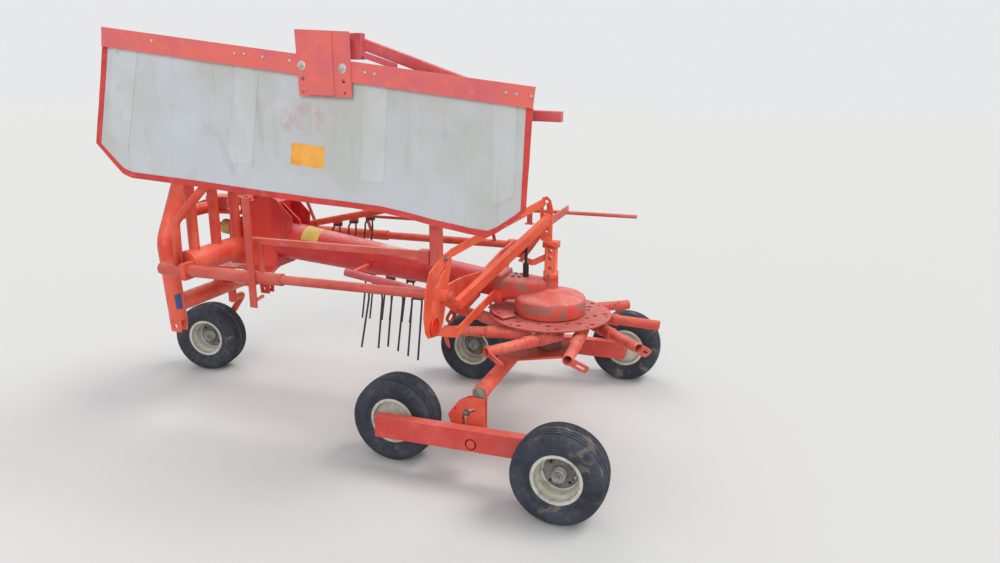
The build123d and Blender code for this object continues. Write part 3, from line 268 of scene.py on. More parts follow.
def binding_look(name, base, dark):
    """Painted or coated strip that the sun has faded in patches."""
    k = Look(name, 0.8, Sheen_Weight=0.1)
    c = k.mix(k.ramp(k.noise(7, 6, 0.65), 0.35, 0.68), srgb(*base), srgb(*dark))
    scuff = k.ramp(k.noise(34, 7, 0.7, k.scaled(0.5, 1, 1)), 0.58, 0.7, 0, 0.45)
    c = k.mix(scuff, c, srgb(218, 138, 128))
    k.colour(c)
    weave = k.math("ADD", k.wave(180, "X"), k.wave(180, "Z"))
    k.rough(k.ramp(k.noise(20, 4), 0.3, 0.7, 0.66, 0.88))
    k.bump(k.math("ADD", k.math("MULTIPLY", weave, 0.4), k.noise(30, 4)), 0.25, 0.0014)
    return k.m


def steel_look(name, base, dark, rough, metal):
    """Metal with rust specks; a low metal value gives dull painted or greasy steel."""
    k = Look(name, rough, metal)
    c = k.mix(k.ramp(k.noise(24, 7, 0.7), 0.4, 0.66), srgb(*base), srgb(*dark))
    rust = k.ramp(k.noise(60, 8, 0.72), 0.6, 0.7, 0, 0.8)
    c = k.mix(rust, c, srgb(112, 66, 42))
    k.colour(c)
    k.rough(k.ramp(k.noise(50, 5), 0.35, 0.7, rough, rough + 0.35))
    k.bump(k.noise(180, 4, 0.6), 0.12, 0.001)
    return k.m


def plastic_look(name, base, dark, rough):
    """Plastic or plain printed film, a little uneven."""
    k = Look(name, rough)
    c = k.mix(k.ramp(k.noise(18, 6, 0.7), 0.42, 0.68), srgb(*base), srgb(*dark))
    k.colour(c)
    k.rough(k.ramp(k.noise(60, 5), 0.35, 0.7, rough, rough + 0.25))
    k.bump(k.noise(240, 3), 0.12, 0.0008)
    return k.m


def lens_look():
    """Red reflector with small cells."""
    k = Look("reflector", 0.18, Coat_Weight=0.6)
    cell = k.t.nodes.new("ShaderNodeTexVoronoi")
    cell.inputs["Scale"].default_value = 260
    k.put(cell.inputs["Vector"], k.coord)
    c = k.mix(k.ramp(cell.outputs["Distance"], 0.1, 0.6), srgb(232, 44, 28), srgb(204, 28, 20))
    k.colour(c)
    k.bump(cell.outputs["Distance"], 0.4, 0.001)
    return k.m


red = paint("frame_paint", (208, 66, 46), (220, 94, 70), (138, 70, 54)).m
# Lit copy of the frame paint, brighter and more orange: painted light on the parts that face the light
lit_red = paint("frame_paint_lit", (220, 76, 46), (230, 104, 70), (148, 74, 54)).m
# Shaded copy of the frame paint, duller and pinker: painted shade on the parts turned from the light
shaded_red = paint("frame_paint_shaded", (188, 68, 54), (198, 92, 80), (128, 66, 54)).m
boom_red = boom_look()
rotor_red = worn_look("rotor_paint", (200, 58, 42), (206, 78, 60), 0.7)
disc_red = worn_look("disc_paint", (172, 54, 52), (184, 72, 72), 0.12)
hub_dark = worn_look("hub_paint", (104, 50, 48), (78, 46, 46), 0.2)
arm_red = paint("arm_paint", (200, 70, 54), (216, 104, 86), (128, 72, 56), 0.58, 0.3, 0.5).m
beam_red = paint("beam_paint", (196, 60, 52), (208, 84, 74), (140, 62, 50), 0.66, 0.25, 0.4).m
# Shaded pinkish copy of the frame paint: painted shade on the guard's top tube and its brackets
shaded_tube_red = paint("tube_paint_shaded", (192, 70, 72), (206, 98, 104), (128, 66, 60)).m


TUBE_EDGE = (0.026, 0.03)  # the paint ends this far below the line of a stored arm's tube, in m


def stored_look(name, x, z, slope, base, faded):
    """Painted arm with dark holders and spring tines hanging under the line of its tube."""
    k = paint(name, base, faded, (96, 60, 50), 0.6, 0.2, 0.5)
    line = k.math("ADD", k.math("MULTIPLY", k.math("SUBTRACT", k.axis("X"), x), slope), z)
    under = k.ramp(k.math("SUBTRACT", line, k.axis("Z")), *TUBE_EDGE)
    k.over(under, k.mix(k.ramp(k.noise(24, 7, 0.7), 0.4, 0.66), srgb(52, 44, 44), srgb(86, 62, 52)))
    return k.m


# Stored arms: name, (x, z) of the tube's rear and front end in the layout, paint, faded paint
STORED = (
    ("stored_arm_left", (195, 723), (830, 818), (168, 58, 66), (190, 88, 96)),
    ("stored_arm_right_low", (200, 700), (1100, 700), (166, 52, 44), (184, 74, 60)),
    ("stored_arm_right_high", (905, 1028), (1590, 874), (206, 66, 44), (222, 92, 62)),
)
stored = {
    name: stored_look(name + "_paint", (back[0] + TANDEM_X) / 1000, back[1] / 1000,
                      (front[1] - back[1]) / (front[0] - back[0]), base, faded)
    for name, back, front, base, faded in STORED
}
bolt_pale = steel_look("bolt_pale", (206, 198, 190), (168, 158, 148), 0.4, 0.35)
rubber = rubber_look()
rim_cream = rim_look()
canvas = canvas_look("canvas")
hem = canvas_look("canvas_hem", 5)
binding = binding_look("binding", (208, 66, 60), (186, 52, 50))
bar_red = binding_look("bar_red", (226, 108, 96), (210, 100, 106))
sticker_orange = plastic_look("sticker_plain", (238, 172, 74), (226, 148, 62), 0.5)
sticker_blue = plastic_look("label_plain", (58, 82, 128), (44, 64, 104), 0.45)
sign_yellow = plastic_look("sign_plain", (208, 178, 92), (188, 154, 72), 0.5)
# Grey of the rims' recessed centres: grime, and painted shade in the recess
rim_grey = steel_look("rim_grime_and_shade", (124, 124, 120), (96, 92, 86), 0.6, 0.15)
cap_grey = steel_look("cap_steel", (158, 162, 166), (120, 118, 114), 0.4, 0.6)
grease = steel_look("grease", (26, 24, 24), (44, 38, 36), 0.5, 0.1)
zinc = steel_look("bolt_steel", (150, 146, 138), (104, 96, 88), 0.38, 0.85)
bare = steel_look("bare_steel", (122, 118, 112), (92, 84, 78), 0.42, 0.75)
rod_dark = steel_look("rod_steel", (42, 38, 36), (64, 50, 42), 0.4, 0.5)
guard_yellow = plastic_look("guard_plastic", (186, 158, 78), (118, 100, 62), 0.5)
lens = lens_look()

# Looks of the solids that stay in view; the rest of them is frame red
LOOKS = {
    "boom": boom_red,
    "curtain_clamp": bar_red,
    # Braces, sector and strap in the lit copy of the frame paint: painted light
    "flat_brace": lit_red,
    "channel_braces": lit_red,
    "sector_left": lit_red,
    "strap": lit_red,
    # Guard strip, hinge tube and crossbar in the shaded copy of the frame paint: painted shade
    "guard_strip_left": shaded_red,
    "hinge_tube_left": shaded_red,
    "crossbar": shaded_red,
    "gear_drum": rotor_red,
    "rotor_hub": hub_dark,
    "curtain_bar": bar_red,
    "stop_plate": rotor_red,
    "input_guard": guard_yellow,
    "reflector_left": lens,
    "rotor_shaft": bare,
    "swivel_pins": zinc,
    "input_shaft": bare,
    "eye_rod": rod_dark,
}
STARTS = (
    ("rim_", rim_cream),
    ("tandem_", beam_red),
    # Guard rails in the shaded copy of the frame paint: painted shade
    ("guard_rail", shaded_red),
)


EDGE_WIDTH = 0.0014  # broken edges of the solids, in m
EDGE_ANGLE = 38  # only where faces meet at more than this, in degrees


def dress(o, material):
    """The material is the only one on the object."""
    o.data.materials.clear()
    o.data.materials.append(material)
    for p in o.data.polygons:
        p.material_index = 0


for name, o in nodes.items():
    chosen = LOOKS.get(name, stored.get(name, red))
    for start, material in STARTS:
        if name.startswith(start):
            chosen = material
    dress(o, chosen)
    weld = o.modifiers.new("weld", "WELD")
    weld.merge_threshold = SAME_POINT
    if not name.startswith(("tyre_", "rim_", "curtain")):
        edge = o.modifiers.new("edge", "BEVEL")
        edge.width = EDGE_WIDTH
        edge.segments = 2
        edge.limit_method = "ANGLE"
        edge.angle_limit = math.radians(EDGE_ANGLE)
        edge.use_clamp_overlap = True


# ---------------------------------------------------------------- mesh helpers
def piece(name, bm, body, material, smooth=40):
    """A new mesh object that rides on a body; edges sharper than smooth degrees stay sharp."""
    mesh = bpy.data.meshes.new(name)
    bmesh.ops.recalc_face_normals(bm, faces=bm.faces)
    bm.to_mesh(mesh)
    bm.free()
    o = bpy.data.objects.new(name, mesh)
    bpy.context.scene.collection.objects.link(o)
    mesh.materials.append(material)
    for p in mesh.polygons:
        p.use_smooth = True
    mesh.set_sharp_from_angle(angle=math.radians(smooth))
    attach(o, body)
    return o


def basis(axis):
    """Rotation that turns Z to an axis."""
    return Vector(axis).normalized().to_track_quat("Z", "Y").to_matrix().to_4x4()


def lathe(bm, centre, axis, profile, steps=48, closed=False):
    """Faces turned round an axis from (along, radius) points in mm."""
    place = Matrix.Translation(centre) @ basis(axis)
    rings = []
    for along, radius in profile:
        if radius < 0.01:
            rings.append([bm.verts.new(place @ Vector((0, 0, along / 1000)))])
            continue
        ring = []
        for i in range(steps):
            a = 2 * math.pi * i / steps
            ring.append(bm.verts.new(place @ Vector((
                radius / 1000 * math.cos(a), radius / 1000 * math.sin(a), along / 1000))))
        rings.append(ring)
    pairs = list(zip(rings, rings[1:]))
    if closed:
        pairs.append((rings[-1], rings[0]))
    for low, high in pairs:
        for i in range(steps):
            j = (i + 1) % steps
            if len(low) == 1:
                bm.faces.new((low[0], high[i], high[j]))
            elif len(high) == 1:
                bm.faces.new((low[i], low[j], high[0]))
            else:
                bm.faces.new((low[i], low[j], high[j], high[i]))


CHAMFER = 0.8  # height of the chamfer on a bolt's head, in mm


def hexagon(bm, centre, axis, across, height):
    """Hexagon head with a chamfered top, across flats in mm."""
    place = Matrix.Translation(centre) @ basis(axis)
    r = across / math.sqrt(3)
    rings = []
    for z, share in ((0, 1.0), (height - CHAMFER, 1.0), (height, 0.9)):
        rings.append([bm.verts.new(place @ Vector((
            r * share / 1000 * math.cos(math.pi * i / 3), r * share / 1000 * math.sin(math.pi * i / 3), z / 1000)))
            for i in range(6)])
    for low, high in zip(rings, rings[1:]):
        for i in range(6):
            bm.faces.new((low[i], low[(i + 1) % 6], high[(i + 1) % 6], high[i]))
    bm.faces.new(rings[-1])
    bm.faces.new(list(reversed(rings[0])))


def bolt(bm, centre, axis, across=19.0, height=8.0, stub=0.0):
    """Washer and head, seated at centre and standing out along axis; a stub shows past a nut."""
    lathe(bm, centre, axis, [(-1, 0), (-1, across * 0.7), (1.6, across * 0.7), (2.2, across * 0.64), (2.2, 0)], 24)
    a = Vector(axis).normalized()
    hexagon(bm, centre + a * 0.0018, axis, across, height)
    if stub:
        lathe(bm, centre + a * (0.001 + height / 1000), axis,
              [(0, 0), (0, across * 0.3), (stub - 1, across * 0.3), (stub, across * 0.24), (stub, 0)], 16)


BEAD_STEPS = 56
BEAD_SIDES = 6


def bead(bm, centre, axis, radius, thick, seed):
    """Weld bead: an uneven ring round a tube."""
    place = Matrix.Translation(centre) @ basis(axis)
    rings = []
    for i in range(BEAD_STEPS):
        a = 2 * math.pi * i / BEAD_STEPS
        wide = thick * (1 + 0.22 * noise.noise(Vector((math.cos(a) * 6, math.sin(a) * 6, seed))))
        ripple = 0.5 * math.sin(a * BEAD_STEPS / 3)
        ring = []
        for j in range(BEAD_SIDES):
            b = 2 * math.pi * j / BEAD_SIDES
            r = radius + (wide + ripple) * 0.6 * math.cos(b)
            ring.append(bm.verts.new(place @ Vector((
                r / 1000 * math.cos(a), r / 1000 * math.sin(a), (wide + ripple) / 1000 * 0.7 * math.sin(b)))))
        rings.append(ring)
    for i in range(BEAD_STEPS):
        low, high = rings[i], rings[(i + 1) % BEAD_STEPS]
        for j in range(BEAD_SIDES):
            k = (j + 1) % BEAD_SIDES
            bm.faces.new((low[j], low[k], high[k], high[j]))


# ---------------------------------------------------------------- forms that the solids simplify
def plain_object(bm):
    """An object without a look, which only serves a cut; the bmesh is freed."""
    mesh = bpy.data.meshes.new("carving")
    bmesh.ops.recalc_face_normals(bm, faces=bm.faces)
    bm.to_mesh(mesh)
    bm.free()
    o = bpy.data.objects.new("carving", mesh)
    bpy.context.scene.collection.objects.link(o)
    return o


def carve(bm, tool, operation="DIFFERENCE"):
    """The first mesh with the second one cut from it, or joined to it by UNION, as a new bmesh."""
    whole, cutter = plain_object(bm), plain_object(tool)
    cut = whole.modifiers.new("cut", "BOOLEAN")
    cut.operation = operation
    cut.solver = "EXACT"
    cut.object = cutter
    bpy.context.view_layer.update()
    result = bmesh.new()
    result.from_mesh(whole.evaluated_get(bpy.context.evaluated_depsgraph_get()).to_mesh())
    for o in (whole, cutter):
        mesh = o.data
        bpy.data.objects.remove(o)
        bpy.data.meshes.remove(mesh)
    return result


def rounded(half, low, high, radius, steps=5):
    """Points of a rounded rectangle, (across, up) in mm."""
    points = []
    for cx, cz, first in ((half - radius, high - radius, 0), (radius - half, high - radius, 90),
                          (radius - half, low + radius, 180), (half - radius, low + radius, 270)):
        for i in range(steps + 1):
            a = math.radians(first + 90 * i / steps)
            points.append((cx + radius * math.cos(a), cz + radius * math.sin(a)))
    return points


def shell(bm, rows):
    """A closed body through rings of vertices, flat at both ends."""
    for low, high in zip(rows, rows[1:]):
        for i in range(len(low)):
            j = (i + 1) % len(low)
            bm.faces.new((low[i], low[j], high[j], high[i]))
    bm.faces.new(rows[0])
    bm.faces.new(rows[-1][::-1])


def loft(bm, rings):
    """A closed body through rings of layout points."""
    shell(bm, [[bm.verts.new(at(*p)) for p in ring] for ring in rings])


def film(name, rows, body, material):
    """A thin open piece through rows of points."""
    bm = bmesh.new()
    rows = [[bm.verts.new(p) for p in row] for row in rows]
    for low, high in zip(rows, rows[1:]):
        for j in range(len(low) - 1):
            bm.faces.new((low[j], low[j + 1], high[j + 1], high[j]))
    piece(name, bm, body, material, 50)


def across_x(sections, mid=0.0):
    """Rings across X from (x, half width, low, high, corner radius)."""
    return [[(x, mid + y, z) for y, z in rounded(half, low, high, radius)] for x, half, low, high, radius in sections]


def box(bm, low, high, edge=1.5):
    """A box with broken edges along X."""
    x0, y0, z0 = low
    x1, y1, z1 = high
    loft(bm, across_x([(x0, (y1 - y0) / 2 - edge, z0 + edge, z1 - edge, 1), (x0 + edge, (y1 - y0) / 2, z0, z1, 2),
                       (x1 - edge, (y1 - y0) / 2, z0, z1, 2), (x1, (y1 - y0) / 2 - edge, z0 + edge, z1 - edge, 1)],
                      (y0 + y1) / 2))


UP = (0, 0, 1)
ROTOR_X = -166  # the rotor's axis in the layout, also that of the gear case and the mast

# Cast gear casing: a low dome on the drum, a rounded neck and its flange
DOME = [(706, 0), (706, 176), (712, 172.5), (718, 166), (723, 154), (729, 128), (736, 96),
        (742, 68), (748, 48), (756, 40), (762, 38), (801, 38), (801, 0)]
bm = bmesh.new()
lathe(bm, at(ROTOR_X, 0, 0), UP, DOME, 72)
loft(bm, across_x([(64, 88, 690, 800, 24), (10, 82, 694, 802, 28), (-50, 72, 698, 802, 30), (-100, 58, 702, 801, 30),
                   (-138, 44, 708, 798, 26), (-160, 34, 716, 790, 20)]))
loft(bm, across_x([(60, 84, 676, 818, 10), (64, 88, 672, 822, 12), (106, 88, 672, 822, 12), (110, 85, 675, 819, 10)]))
casing = piece("casing_shell", bm, "frame", rotor_red, 45)
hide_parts("gear_casing")

# Rotor disc with its holes
SOCKETS = 9
PITCH = 360 / SOCKETS
DISC = [(619, 31), (619, 306), (620, 307), (626, 307), (627, 306), (627, 31)]
HOLES = ((275, 111.5, 13), (228, 102.6, 13), (201, 88.9, 11), (285, 63.0, 8))  # row, first angle, hole radius


def polar(radius, degrees, z):
    """Point round the rotor's axis."""
    t = math.radians(degrees)
    return at(ROTOR_X + radius * math.cos(t), radius * math.sin(t), z)


def drill(bm, start, axis, length, radius):
    """A plain pin for a cut, in mm."""
    lathe(bm, start, axis, [(0, 0), (0, radius), (length, radius), (length, 0)], 28)


bm = bmesh.new()
lathe(bm, at(ROTOR_X, 0, 0), UP, DISC, 180, closed=True)
tool = bmesh.new()
for row, first, hole in HOLES:
    for i in range(SOCKETS):
        drill(tool, polar(row, first + PITCH * i, 610), UP, 30, hole)
disc = piece("rotor_disc_pierced", carve(bm, tool), "rotor", disc_red, 35)
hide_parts("rotor_disc")

# Arm sockets: open tubes with a sleeve, two clamp posts and a slotted tab at the tip
FIRST = 73.03  # angle of the first tip, in degrees
SWEEP = 19.5  # how far a socket's line is turned off the radial line, in degrees
TIP_R = 546
TIP_Z = 574
SOCKET = [(-430, 0), (-430, 31), (-312, 31), (-310, 33), (-304, 33), (-302, 29.5), (-222, 29.5), (-220, 31),
          (-213, 30), (-211, 25), (-1, 25), (0, 24), (0, 20.8), (-1, 20), (-120, 20), (-120, 0)]
CLAMP_POST = [(18, 0), (18, 17), (45.5, 17), (45.5, 0)]
CLAMPS = (0.33, 0.41)  # how far behind the tip the clamp posts stand, in m
TAB = [(14, -24), (88, -24), (100, -19), (105, -10), (105, 10), (100, 19), (88, 24), (14, 24)]
SLOT_ENDS = ((83, -90), (52, 90))  # middle along the tab and first angle of each round end
SLOT_R = 7


def slab(place, outline, half):
    """A flat plate from its outline, as a new bmesh; place turns (u, v, height) in mm to a point."""
    bm = bmesh.new()
    shell(bm, [[bm.verts.new(place(u, v, height)) for u, v in outline] for height in (-half, half)])
    return bm


def slotted_tab(root, along, wide, face):
    """The tab at a socket's tip, as a new bmesh."""
    def place(u, v, height):
        return root + (along * u + wide * v + face * height) / 1000

    slot = []
    for mid, start in SLOT_ENDS:
        for j in range(9):
            a = math.radians(start + 180 * j / 8)
            slot.append((mid + SLOT_R * math.cos(a), SLOT_R * math.sin(a)))
    return carve(slab(place, TAB, 3), slab(place, slot, 8))


def join(bm, other):
    """Adds another bmesh, which is freed."""
    mesh = bpy.data.meshes.new("joined")
    other.to_mesh(mesh)
    other.free()
    bm.from_mesh(mesh)
    bpy.data.meshes.remove(mesh)


bm = bmesh.new()
for i in range(SOCKETS):
    angle = FIRST + PITCH * i
    tip = polar(TIP_R, angle, TIP_Z)
    t = math.radians(angle - SWEEP)
    out = Vector((math.cos(t), math.sin(t), 0))
    side = Vector((-out.y, out.x, 0))
    lathe(bm, tip, out, SOCKET, 40)
    along = (-0.3 * out + 0.81 * side + Vector((0, 0, -0.5))).normalized()
    face = along.cross(-0.32 * out - 0.58 * side + Vector((0, 0, -0.75))).normalized()
    join(bm, slotted_tab(tip - out * 0.004, along, face.cross(along), face))
    for back in CLAMPS:
        lathe(bm, tip - out * back, UP, CLAMP_POST, 24)
sockets = piece("rotor_sockets", bm, "rotor", arm_red, 38)
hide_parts("rotor_arms")

# Top tube of the left guard is rectangular behind the hoop, with a level stub at the rear
HOOP_END = 622  # the round hoop goes on ahead of this x
TOP_TUBE = [(640, 17, 1908, 1946, 6), (600, 19, 1902, 1952, 6), (-168, 19, 1640, 1690, 6),
            (-200, 19, 1612, 1658, 6), (-216, 19, 1602, 1645, 6), (-335, 19, 1600, 1642, 6)]
TOP_TUBE_Y = 530
bm = bmesh.new()
bm.from_mesh(nodes["guard_hoop_left"].data)
bmesh.ops.remove_doubles(bm, verts=bm.verts, dist=SAME_POINT)
flat_cut = bmesh.ops.bisect_plane(bm, geom=bm.verts[:] + bm.edges[:] + bm.faces[:], plane_co=at(HOOP_END, 0, 0),
                                  plane_no=(1, 0, 0), clear_inner=True)
bmesh.ops.holes_fill(bm, edges=[e for e in flat_cut["geom_cut"] if isinstance(e, bmesh.types.BMEdge)])
hoop = piece("guard_hoop_front", bm, "guard_left", red, 40)
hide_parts("guard_hoop_left")
bm = bmesh.new()
loft(bm, across_x(TOP_TUBE, TOP_TUBE_Y))
# The top tube, like the brackets below, takes the shaded pinkish copy: painted shade
piece("guard_top_tube", bm, "guard_left", shaded_tube_red, 40)

# Brackets from the top tube to the clamp plate, a block behind them, and the bar that slopes down to the rear
bm = bmesh.new()
for x in (600, 750):
    box(bm, (x, 530, 1901), (x + 20, 616, 1941))
box(bm, (526, 545, 1843), (590, 590, 1950))
lean = [(530, 575, 1864), (500, 575, 1855), (366, 575, 1813)]
loft(bm, [[(x, y + dy, z + dz) for dy, dz in ((-4, -13), (4, -13), (4, 13), (-4, 13))] for x, y, z in lean])
ears = piece("swing_brackets", bm, "guard_left", shaded_tube_red, 40)
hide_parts("swing_ears")

# Mast with a square tube round it and three open holes
MAST_HOLES = ((862, 9), (912, 10.5), (946, 11.5))  # height and radius
bm = bmesh.new()
bm.from_mesh(nodes["mast"].data)
bmesh.ops.remove_doubles(bm, verts=bm.verts, dist=SAME_POINT)
post = bmesh.new()
loft(post, [[(ROTOR_X + x, y, z) for x, y in rounded(28, -26, 26, 5)] for z in (836, 964)])
tool = bmesh.new()
for z, hole in MAST_HOLES:
    drill(tool, at(ROTOR_X, -60, z), (0, 1, 0), 120, hole)
mast = piece("mast_pierced", carve(carve(bm, post, "UNION"), tool), "frame", lit_red, 35)
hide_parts("mast")

# Rail of the left guard with its square rear post and the block between them, and one riser
HINGE_Y = 560  # the rail, post and riser stand over the left hinge tube
bm = bmesh.new()
box(bm, (280, HINGE_Y - 12, 1000), (1180, HINGE_Y + 12, 1030))
box(bm, (238, HINGE_Y - 22, 976), (290, HINGE_Y + 22, 1036))
loft(bm, [[(210 + x, HINGE_Y + y, z) for x, y in rounded(24, -24, 24, 5)] for z in (972, 1800)])
rail = piece("guard_rail_post", bm, "guard_left", shaded_red, 35)
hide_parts("guard_rail_left")
bm = bmesh.new()
loft(bm, [[(1120 + x, HINGE_Y + y, z) for x, y in rounded(10, -8, 8, 2)] for z in (846, 1002)])
riser = piece("guard_riser", bm, "guard_left", shaded_red, 35)
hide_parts("guard_risers_left")

# Round rack posts with pressed caps
RACK_X = 1600
POST_ROWS = (450, 280, 110, -110, -280, -450)
POST = [(886, 0), (886, 27), (1262, 27), (1266, 28.5), (1268, 28.5), (1270, 25), (1270, 0)]
bm = bmesh.new()
for y in POST_ROWS:
    lathe(bm, at(RACK_X, y, 0), UP, POST, 40)
posts = piece("rack_posts_round", bm, "frame", red, 40)
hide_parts("rack_posts")

# Blank sign on the boom, and blank label on the left leg of the headstock
BOOM_BACK, BOOM_LONG = 110, 1265  # the boom grows wider and climbs from here over this length
LEG_LOW, LEG_TALL, LEG_Y = 505, 425, 400
FILM_ROWS, FILM_COLUMNS = 9, 12


def bent(first, step):
    """Angles across a film that lies on a tube, in radians."""
    return [math.radians(first + step * j) for j in range(FILM_COLUMNS)]


rows = []
for i in range(FILM_ROWS):
    x = 1108 + 98 * i / (FILM_ROWS - 1)
    share = (x - BOOM_BACK) / BOOM_LONG
    radius, mid = 65 + 38.5 * share + 0.7, 751 + 149 * share
    rows.append([at(x, radius * math.cos(a), mid + radius * math.sin(a)) for a in bent(26, 6)])
film("boom_sign", rows, "frame", sign_yellow)

rows = []
for i in range(FILM_ROWS):
    z = 570 + 82 * i / (FILM_ROWS - 1)
    x = 1795 + 30 * (z - LEG_LOW) / LEG_TALL
    rows.append([at(x + 45.6 * math.cos(a), LEG_Y + 45.6 * math.sin(a), z) for a in bent(130, 4)])
film("leg_label", rows, "headstock", sticker_blue)

# ---------------------------------------------------------------- wheels
WHEEL_Z = 205
STEER = math.radians(6.3)  # how far the caster is turned in the photograph
CASTER_LEAD = 171  # from the caster's stem to the wheel's axis
GAUGE = (1883 + CASTER_LEAD * math.cos(STEER), -168.8 + CASTER_LEAD * math.sin(STEER), WHEEL_Z)
# Wheel, middle in the layout, and the way in which its open dish faces
WHEELS = (
    ("front_left", (435, 536, WHEEL_Z), (0, -1, 0)),
    ("rear_left", (-435, 823, WHEEL_Z), (0, 1, 0)),
    ("front_right", (435, -536, WHEEL_Z), (0, 1, 0)),
    ("rear_right", (-435, -823, WHEEL_Z), (0, -1, 0)),
    ("gauge", GAUGE, (-math.sin(STEER), math.cos(STEER), 0)),
)
# Profiles round the wheel's axis: (out from the wheel's middle towards the dish, radius) in mm
TYRE_SIDE = [(58, 103), (60, 108), (65, 111), (66, 116), (70, 121), (71, 126), (76, 130), (80, 140), (83, 152),
             (84, 164), (83, 174), (82, 176), (81.5, 178), (80, 184), (76, 192), (70, 197)]
TYRE_RIBS = ((66, 56), (48, 38), (30, 20), (12, 0))
TYRE_INSIDE = [(57.5, 103), (-57.5, 103)]
CROWN = 205.0  # radius at the middle of the tread
CROWN_DROP = 6.5  # how much lower the outermost rib lies
GROOVE = 7
HUB_CAP = [(29, 0), (29, 30.4), (33, 30.4), (34.5, 28), (34.5, 24.6), (43, 24.4), (46, 22), (46.4, 0)]
RIM_DISH = [(58, 97.4), (58, 96.4), (45, 96), (37, 93), (29, 86.5), (22, 83.6), (-5, 82.6), (-10.5, 80),
            (-13, 75.5), (-15, 75.5), (-15, 97.4)]
RIM_LIP = [(63.8, 98), (63.8, 109), (65.2, 110.6), (64.8, 111.4), (62, 111.4), (62, 98)]
VALVE = [(0, 0), (0, 5), (6, 5), (8, 3.6), (22, 3.6), (22, 4.4), (32, 4.4), (33, 0)]
RIM_CENTRE = [(-14.5, 29.5), (-14.5, 76), (-12.6, 76), (-10.2, 70), (-9, 58), (-11.6, 50), (-11.6, 38),
              (-8, 33), (4, 31), (4, 29.5)]
WHEEL_BOLTS = 4


def tyre_half(side):
    """Half of the tyre's outside, from the bead to the middle of the tread."""
    points = list(TYRE_SIDE)
    for low, high in TYRE_RIBS:
        drop = CROWN_DROP * (low / 66) ** 2
        points += [(low, CROWN - drop - 1.2), (low - 0.6, CROWN - drop), (high + 0.6, CROWN - drop * 0.8)]
        if high:
            points += [(high, CROWN - drop - 1.2), (high - 1.2, CROWN - drop - GROOVE),
                       (high - 6.8, CROWN - drop - GROOVE)]
    return [(side * a, r) for a, r in points]


for name, centre, dish in WHEELS:
    body = "wheel_" + name
    c = at(*centre)
    a = Vector(dish).normalized()
    turn = basis(dish).to_3x3()

    bm = bmesh.new()
    lathe(bm, c, dish, tyre_half(-1) + tyre_half(1)[::-1] + TYRE_INSIDE, 120, closed=True)
    tyre = piece("tyre_" + name + "_ribbed", bm, body, rubber, 38)
    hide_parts("tyre_" + name)

    bm = bmesh.new()
    for i in range(WHEEL_BOLTS):
        t = math.radians(45 + 90 * i)
        bolt(bm, c + turn @ Vector((0.058 * math.cos(t), 0.058 * math.sin(t), -0.0139)), a, 13, 6)
    piece("wheel_bolts_" + name, bm, body, rod_dark, 35)

    bm = bmesh.new()
    lathe(bm, c, a, HUB_CAP, 64)
    hexagon(bm, c + a * 0.0462, a, 19, 5)
    piece("hub_cap_" + name, bm, body, cap_grey, 35)

    bm = bmesh.new()
    lathe(bm, c, a, RIM_DISH, 96, closed=True)
    lathe(bm, c, a, RIM_LIP, 96, closed=True)
    lathe(bm, c + turn @ Vector((0.07, 0, -0.012)), a, VALVE, 14)
    piece("rim_dish_" + name, bm, body, rim_cream, 35)

    # Recessed centre in grey: grime and painted shade
    bm = bmesh.new()
    lathe(bm, c, a, RIM_CENTRE, 96, closed=True)
    piece("rim_centre_" + name, bm, body, rim_grey, 35)


# ---------------------------------------------------------------- curtain
# Edges of the cloth in the upright plane of the left guard: (x, z) in the layout, from the rear forwards
TOP = ((-242, 1707), (1846, 1960))
LEFT = ((-215, 1247), (-242, 1707))
RIGHT = ((1977, 1454), (1846, 1960))
LOW = ((-215, 1247), (-170, 1205), (-96, 1150), (-51, 1127), (30, 1134), (193, 1158), (330, 1185), (448, 1204),
       (600, 1214), (755, 1222), (1100, 1246), (1500, 1274), (1780, 1293), (1830, 1310), (1905, 1382), (1977, 1454))


def on_line(points, s):
    """Point at a share of a line's length."""
    lengths = [math.dist(p, q) for p, q in zip(points, points[1:])]
    left = s * sum(lengths)
    for (p, q), d in zip(zip(points, points[1:]), lengths):
        if left <= d or (p, q) == (points[-2], points[-1]):
            k = left / d
            return Vector((p[0] + (q[0] - p[0]) * k, p[1] + (q[1] - p[1]) * k))
        left -= d


CORNER = (Vector(LOW[0]), Vector(LOW[-1]), Vector(TOP[0]), Vector(TOP[1]))
CLOTH_Y = 621.5  # where the cloth is held by its bar


def cloth_at(s, t):
    """Point of the cloth's middle, s from rear to front and t from the low edge up, in mm."""
    p = (on_line(LOW, s) * (1 - t) + on_line(TOP, s) * t + on_line(LEFT, t) * (1 - s) + on_line(RIGHT, t) * s
         - CORNER[0] * (1 - s) * (1 - t) - CORNER[1] * s * (1 - t) - CORNER[2] * (1 - s) * t - CORNER[3] * s * t)
    loose = (1 - t) ** 0.8
    wave = noise.noise(Vector((s * 6.2, t * 2.4, 3.1))) + 0.45 * noise.noise(Vector((s * 17, t * 5, 9.4)))
    y = CLOTH_Y - 1.5 * loose + 9.0 * loose * wave + 3.0 * math.sin(s * 5.2) * loose
    return Vector((p[0], y, p[1]))


